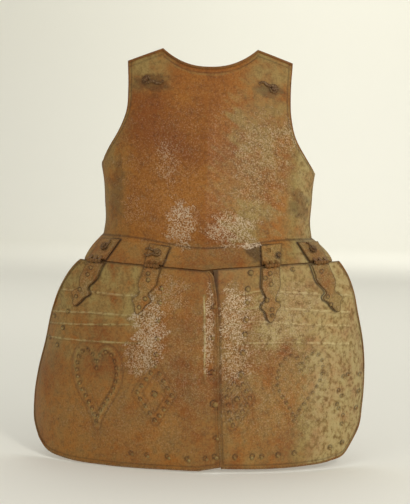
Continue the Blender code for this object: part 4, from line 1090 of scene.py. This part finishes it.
# %% [markdown]
# Rivet heads are low domes, beaten down by hand. Some hundred and fifty separate spheres would
# be slow and hard to move, so one dome's points are worked out, and copies are set on the
# surface with its normal, all in one array.


# %% Rivets
def domes(places, normals, sizes, sides=12, flat=0.62):
    """Closed low domes: a crown, rings at 75, 50, 25 and 0 degrees, and a foot under the face."""
    angle = np.linspace(0, 2 * np.pi, sides, endpoint=False)
    circle = np.stack([np.cos(angle), np.sin(angle), 0 * angle], -1)
    rings = [circle * math.cos(a) + (0, 0, flat * math.sin(a)) for a in np.radians([75, 50, 25, 0])]
    foot = rings[-1] * (1, 1, 0) - (0, 0, 0.35)
    shape = np.concatenate([[[0, 0, flat]], *rings, foot, [[0, 0, -0.35]]])
    side_way = np.cross(normals, (0.0, 0.0, 1.0))
    side_way /= np.linalg.norm(side_way, axis=-1, keepdims=True)
    frames = np.stack([side_way, np.cross(normals, side_way), normals], -1)
    points = np.einsum("nij,kj->nki", frames, shape) * sizes[:, None, None] + places[:, None]
    k = np.arange(sides)
    ahead = (k + 1) % sides
    quads = []
    for ring in range(4):
        a, b = 1 + ring * sides, 1 + (ring + 1) * sides
        quads.append(np.stack([a + k, b + k, b + ahead, a + ahead], -1))
    top = np.stack([0 * k, 1 + k, 1 + ahead], -1)
    last = 1 + 4 * sides
    bottom = np.stack([0 * k + len(shape) - 1, last + ahead, last + k], -1)
    shift = (np.arange(len(places)) * len(shape))[:, None, None]
    quads = (np.concatenate(quads)[None] + shift).reshape(-1, 4)
    caps = (np.concatenate([top, bottom])[None] + shift).reshape(-1, 3)
    return points.reshape(-1, 3), [quads, caps]


def on_tasset(side, x, d):
    """Point and unit normal of a tasset's face at places in mm."""
    x, d = np.asarray(x, float) / 1000, np.asarray(d, float) / 1000 / TASSET_DROP
    across = tasset_point(x + 0.001, d, side) - tasset_point(x - 0.001, d, side)
    rising = tasset_point(x, d - 0.003, side) - tasset_point(x, d + 0.003, side)
    normal = np.cross(across, rising)
    return tasset_point(x, d, side), normal / np.linalg.norm(normal, axis=-1, keepdims=True)


# Rivets of the straps: place across and down, and radius, in mm.
STRAP_RIVETS = {
    -1: [
        (-89.7, 12.5, 2.6), (-89.4, 23, 2.6), (-93.3, 53.8, 2.6), (-103, 68.2, 2.4),
        (-188, 12, 2.4), (-193, 24, 2.4), (-206, 50, 2.4), (-212, 62, 2.2),
    ],
    1: [
        (106.3, 12, 2.8), (98.8, 19, 2.6), (108.3, 29.6, 2.8), (102.4, 54.8, 2.8), (119.9, 55.2, 2.8),
        (111, 70.8, 2.6), (111.5, 80.3, 2.2), (189.9, 14.5, 2.6), (201, 57, 2.4), (207, 70.5, 2.4),
    ],
}
SHEET_SINK, STRAP_LIFT = 0.0004, 0.0023

for side, body in ((-1, "right_tasset"), (1, "left_tasset")):
    rows = np.array(RIVETS[side])
    places, normals = on_tasset(side, rows[:, 0], rows[:, 1])
    lifted = np.array(STRAP_RIVETS[side])
    more, more_normals = on_tasset(side, lifted[:, 0], lifted[:, 1])
    places = np.concatenate([places + normals * SHEET_SINK, more + more_normals * STRAP_LIFT])
    normals = np.concatenate([normals, more_normals])
    points, faces = domes(places, normals, np.concatenate([rows[:, 2], lifted[:, 2]]) * 0.0011)
    make(body + "_rivets", points, faces, rivet_rust, body, 60)

# %% [markdown]
# A hinge is two forged plates that roll round one pin: a leaf on the flange, and a long strap
# with lobes and a tip on the tasset. A flat plate would have to be bent to each curved sheet,
# so each is a grid laid on its sheet and lifted off it, with a bevel all round. Tongues of
# iron carry it to its knuckles, which are turned about the pin's own line.

# %% Plates, tongues and knuckles
SEAT_GAP, LEAF_PLATE, STRAP_PLATE = 0.0007, 0.0018, 0.0016
KNUCKLE, KNUCKLE_GAP, BARREL_RADIUS, BORE_RADIUS, BARREL_OUT = 0.0046, 0.0004, 0.0030, 0.00165, 0.0082
FINGER_PLATE, FINGER_OUT, FINGER_KNEE = 0.0012, 0.00232, 0.0036


def flange_at(x, level):
    """The flange's face at a place across, turned into its share of the half-width there."""
    return flange_point(x / flange_half(np.sign(x), level), level)


def on_flange(x, height):
    """Point and unit normal of the flange's face at places across and heights above the pin."""
    x, level = np.broadcast_arrays(np.asarray(x, float), np.asarray(height, float) / LEAF_REACH)
    across = flange_at(x + 0.001, level) - flange_at(x - 0.001, level)
    normal = np.cross(across, flange_at(x, level + 0.01) - flange_at(x, level - 0.01))
    return flange_at(x, level), normal / np.linalg.norm(normal, axis=-1, keepdims=True)


def plate(seat, normals, thickness, hole=None):
    """A closed plate over a grid of seats, bevelled all round, with a hole of whole cells."""
    bevel = 0.35 * thickness
    edge = seat + normals * (SEAT_GAP + 0.55 * thickness)
    face = pulled(pulled(seat + normals * (SEAT_GAP + thickness), (bevel, bevel), 0), (bevel, bevel), 1)
    row, column = border(*seat.shape[:2])
    points, blocks = closed(face, seat + normals * SEAT_GAP, (row, column), edge[row, column][:, None])
    if hole is None:
        return points, blocks
    low_row, high_row, low_column, high_column = hole
    rows, columns = seat.shape[:2]
    cells = (rows - 1) * (columns - 1)
    r, c = np.divmod(np.arange(cells), columns - 1)
    keep = ~((r >= low_row) & (r < high_row) & (c >= low_column) & (c < high_column))
    front, rear, sides = np.split(blocks[0], [cells, 2 * cells])
    quads = np.concatenate([front[keep], rear[keep], sides])
    ring_row, ring_column = border(high_row - low_row + 1, high_column - low_column + 1)
    ring = (ring_row + low_row) * columns + ring_column + low_column
    ahead = np.roll(ring, -1)
    wall = np.stack([ring, ahead, ahead + rows * columns, ring + rows * columns], -1)
    return points, [np.concatenate([quads, wall])]


def tongue(path, along, width, thickness):
    """A strip of iron: a path in a plane square to the pin, with its width along the pin."""
    tangent = np.gradient(path, axis=0)
    out = np.cross(along, tangent)
    out /= np.linalg.norm(out, axis=-1, keepdims=True)
    across = np.array([-0.5, 0.5])[:, None] * width * along
    middle = path[:, None] + across[None]
    lift = out[:, None] * thickness / 2
    return closed(middle + lift, middle - lift, border(len(path), 2), np.zeros((2 * len(path), 0, 3)))


def lathe(centre, axis, profile, sides=20):
    """A body of revolution about an axis from a closed profile of radius and height pairs."""
    angle = np.linspace(0, 2 * np.pi, sides, endpoint=False)
    first = np.cross(axis, (0.0, 0.0, 1.0))
    first /= np.linalg.norm(first)
    round_way = np.outer(np.cos(angle), first) + np.outer(np.sin(angle), np.cross(axis, first))
    profile = np.asarray(profile, float)
    points = centre + profile[:, None, :1] * round_way[None] + profile[:, None, 1:] * axis
    grid = np.arange(len(profile) * sides).reshape(len(profile), sides)
    ahead, beside = np.roll(grid, -1, 0), np.roll(grid, -1, 1)
    quads = np.stack([grid, beside, np.roll(beside, -1, 0), ahead], -1).reshape(-1, 4)
    return points.reshape(-1, 3), [quads]


def hinge_line(side):
    """Middle and unit direction of the line through both pins of a tasset, from its joint."""
    swing = "right_tasset_swing" if side < 0 else "left_tasset_swing"
    joint = next(j for j in frame["joints"] if j["name"] == swing)
    axis = np.array(joint["axis"], float)
    return np.array(joint["pos_m"], float), axis / np.linalg.norm(axis) * -1.0


def pin_centre(x, side):
    """The place on the hinge line nearest to a hinge's own place in front of the flange."""
    middle, along = hinge_line(side)
    slope = (edge_depth(x + 0.001) - edge_depth(x - 0.001)) / 0.002
    out = np.array([slope, -1.0, 0.0]) / math.hypot(slope, 1.0)
    own = np.array([x, float(edge_depth(x)), float(edge_height(x))]) + out * BARREL_OUT
    return middle + along * ((own - middle) @ along), along, out


def crossing(row, normals, target, along, lift):
    """Where a row of seats passes a place on the pin, at the middle of the plate's thickness."""
    keys = (row - target) @ along
    order = np.argsort(keys)
    middle = row + normals * lift
    return np.array([np.interp(0.0, keys[order], middle[order, k]) for k in range(3)])


def knuckles(centre, along, first):
    """Places of every other knuckle along a pin, starting from the first or the second."""
    return [centre + along * (KNUCKLE + KNUCKLE_GAP) * (k - 2) for k in range(first, 5, 2)]


BARREL_EDGE = BARREL_RADIUS - 0.0004
BARREL = np.array([
    (BORE_RADIUS, -1.0), (BARREL_EDGE, -1.0), (BARREL_RADIUS, -0.8),
    (BARREL_RADIUS, 0.8), (BARREL_EDGE, 1.0), (BORE_RADIUS, 1.0),
]) * (1.0, KNUCKLE / 2)
print("a knuckle is", KNUCKLE * 1000, "mm long")

# %% [markdown]
# Three knuckles of each leaf and two of its strap take turns along the pin. All four hinges
# are made in one loop, because they differ only in place, lean and length. The third leaf has
# an empty slot and a stump where its hook broke off.

# %% Leaves and straps
SLOT = (16, 22, 6, 15)

for number, x, leaf_lean, strap_lean, length in HINGES:
    side = -1 if x < 0 else 1
    centre, along, out = pin_centre(x, side)
    height = np.linspace(LEAF_FOOT, LEAF_HEIGHT, 28)[:, None]
    half = LEAF_HALF[0] + (LEAF_HALF[1] - LEAF_HALF[0]) * (height - LEAF_FOOT) / (LEAF_HEIGHT - LEAF_FOOT)
    wide = np.linspace(-1, 1, 33)[None]
    across = x - leaf_lean * height + half * wide
    seat, normals = on_flange(across, height)
    parts = [plate(seat, normals, LEAF_PLATE, SLOT if number == 3 else None)]
    lift = SEAT_GAP + LEAF_PLATE / 2
    for target in knuckles(centre, along, 0):
        base = crossing(seat[5], normals[5], target, along, lift)
        high = crossing(seat[8], normals[8], target, along, lift)
        knee = target + np.array([0, 0, FINGER_KNEE]) + 0.35 * (base - target) * (1, 1, 0)
        crown = target + np.array([0, 0, FINGER_OUT])
        parts.append(tongue(np.array([crown, knee, base, high]), along, KNUCKLE, FINGER_PLATE))
        parts.append(lathe(target, along, BARREL))
    points, faces = joined(parts)
    piece = make(f"leaf_{number}", points, faces, fitting_rust, "breast", 50)
    places = np.stack(np.broadcast_arrays(across * 1000, height * 1000), -1)
    rim = near_path(places, leaf_line(x, leaf_lean))
    stud_x, stud_height = (x + 0.0122, 0.0140) if number == 3 else (x - leaf_lean * 0.0205, 0.0205)
    from_stud = np.hypot(across - stud_x, height - stud_height) * 1000
    # Painted shade round the leaf's edge and a painted shadow round its stud; pale specks stand for bare
    # iron and highlights.
    grime_and_shade = np.maximum(0.45 * ease(1 - rim / 1.6), 0.85 * ease(1.5 - from_stud / 6.5))
    leaf_dust = 0.42 + 0.25 * ease((x + 0.02) / 0.1)
    paint(piece, leaf_dust + 0 * rim, 0.25 + 0 * rim, grime_and_shade, rim=(0.3, 0.1, 0.35))
    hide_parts(f"hinge_leaf_{number}")

    share = np.linspace(1, 0, 81)[:, None]
    below = STRAP_HEAD + (length - STRAP_HEAD) * share
    half = STRAP_HALF * through(share, STRAP_LINE)
    across = x + strap_lean * below + half * np.linspace(-1, 1, 21)[None]
    seat, normals = on_tasset(side, across * 1000, below * 1000 + 0 * across)
    parts = [plate(seat, normals, STRAP_PLATE)]
    lift = SEAT_GAP + STRAP_PLATE / 2
    for target in knuckles(centre, along, 1):
        base = crossing(seat[-3], normals[-3], target, along, lift)
        low = crossing(seat[-7], normals[-7], target, along, lift)
        crown = target + FINGER_OUT * out
        parts.append(tongue(np.array([low, base, crown]), along, KNUCKLE, FINGER_PLATE))
        parts.append(lathe(target, along, BARREL))
    points, faces = joined(parts)
    body = "right_tasset" if side < 0 else "left_tasset"
    piece = make(f"strap_{number}", points, faces, fitting_rust, body, 50)
    places = np.stack(np.broadcast_arrays(across * 1000, below * 1000), -1)
    rim = near_path(places, strap_line(x, strap_lean, length))
    # Painted shade round the strap's edge and round each rivet's foot; pale specks stand for bare iron and
    # highlights.
    grime_and_shade = 0.60 * ease(1 - rim / 1.8)
    for px, pd, size in STRAP_RIVETS[side]:
        ring = np.abs(np.hypot(across * 1000 - px, below * 1000 - pd) - size - 0.4)
        grime_and_shade = laid(grime_and_shade, 0.8, ring, 1.8)
    strap_dust = 0.62 + 0.2 * ease((x + 0.02) / 0.1)
    paint(piece, strap_dust + 0 * rim, 0.30 + 0 * rim, grime_and_shade, rim=(0.3, 0.1, 0.3))
    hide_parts(f"hinge_strap_{number}")

# %% [markdown]
# The turning hooks are round bars, bent hot: an eye round the stud, then a long S that tapers
# to its end. A curve object with a bevel would give a tube with blunt ends, so an ellipse is
# carried along the path instead and shrinks towards both ends. The second hook has two prongs,
# and the other one is its mirror image across the bar.

# %% Turning hooks
# Hook: its CAD node, its body, the bearing of its bar in degrees, its reach and its width.
HOOKS = (
    ("turning_hook_1", "hook_1", 80, 0.0130, 0.0042), ("turning_hook_2", "hook_2", 170, 0.0200, 0.0046),
    ("turning_hook_4", "hook_4", 150, 0.0140, 0.0042),
    ("shoulder_hook_right", "right_shoulder_hook", 4, 0.0300, 0.0052),
    ("shoulder_hook_left", "left_shoulder_hook", 176, 0.0260, 0.0052),
)
STUD_RADIUS, HOOK_PLAY, HOOK_HIGH, HOOK_SINK = 0.0022, 0.00035, 0.0034, 0.0004
EYE_TURNS = np.radians(np.linspace(-8, 297, 34))
S_HEADING = np.radians(27 + np.cumsum(np.where(np.arange(24) < 12, -17 / 3, 8.0)))
S_STEPS = np.cumsum(np.stack([np.cos(S_HEADING), np.sin(S_HEADING)], -1), 0) / len(S_HEADING)
PRONG_FROM = 26
TAPER_PLACES, TAPER_SHARES = (0, 0.75, 0.93, 0.97, 1), (1, 1, 0.62, 0.85, 0.5)

for name, body, aim, reach, width in HOOKS:
    joint = next(j for j in frame["joints"] if j["child"] == body)
    base, normal = np.array(joint["pos_m"], float), np.array(joint["axis"], float)
    normal /= np.linalg.norm(normal)
    side_way = np.cross(normal, (math.cos(math.radians(aim)), 0.0, math.sin(math.radians(aim))))
    side_way /= np.linalg.norm(side_way)
    front = np.cross(side_way, normal)
    loop = STUD_RADIUS + HOOK_PLAY + width / 2
    eye = loop * np.stack([np.cos(EYE_TURNS), np.sin(EYE_TURNS)], -1)
    flat = np.concatenate([eye, eye[-1] + S_STEPS * reach])
    path = base + flat[:, :1] * front + flat[:, 1:] * side_way + normal * (HOOK_HIGH / 2 - HOOK_SINK)
    tangent = np.gradient(path, axis=0)
    across = np.cross(normal, tangent)
    across /= np.linalg.norm(across, axis=-1, keepdims=True)
    far = np.linspace(0, 1, len(path))
    taper = np.clip(np.minimum(0.55 + 6 * far, 1.0) * np.interp(far, TAPER_PLACES, TAPER_SHARES), 0.3, 1.0)
    parts = [bar(path, across, normal, taper * width / 2, taper * HOOK_HIGH / 2)]
    if name == "turning_hook_2":
        mirrored = base + (path - base) @ (np.eye(3) - 2 * np.outer(side_way, side_way))
        prong, thin = mirrored[PRONG_FROM:] + normal * 0.0006, taper[PRONG_FROM:]
        across = np.cross(normal, np.gradient(prong, axis=0))
        across /= np.linalg.norm(across, axis=-1, keepdims=True)
        parts.append(bar(prong, across, normal, thin * width / 2, thin * HOOK_HIGH / 2))
    points, faces = joined(parts)
    piece = make(body + "_bar", points, faces, dark_rust, body, 70)
    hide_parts(name)

# %% [markdown]
# The pins and the studs are small turned pieces whose CAD shapes are right as they are. They
# could be made again more finely, but at a few millimetres that wouldn't show, so they only
# get the dark iron.

# %% Pins and studs
for name, node in frame["nodes"].items():
    if name.startswith(("hinge_pin", "hook_stud", "shoulder_stud")):
        for slot in node.material_slots:
            slot.material = dark_rust
print("pins and studs keep their CAD shapes")
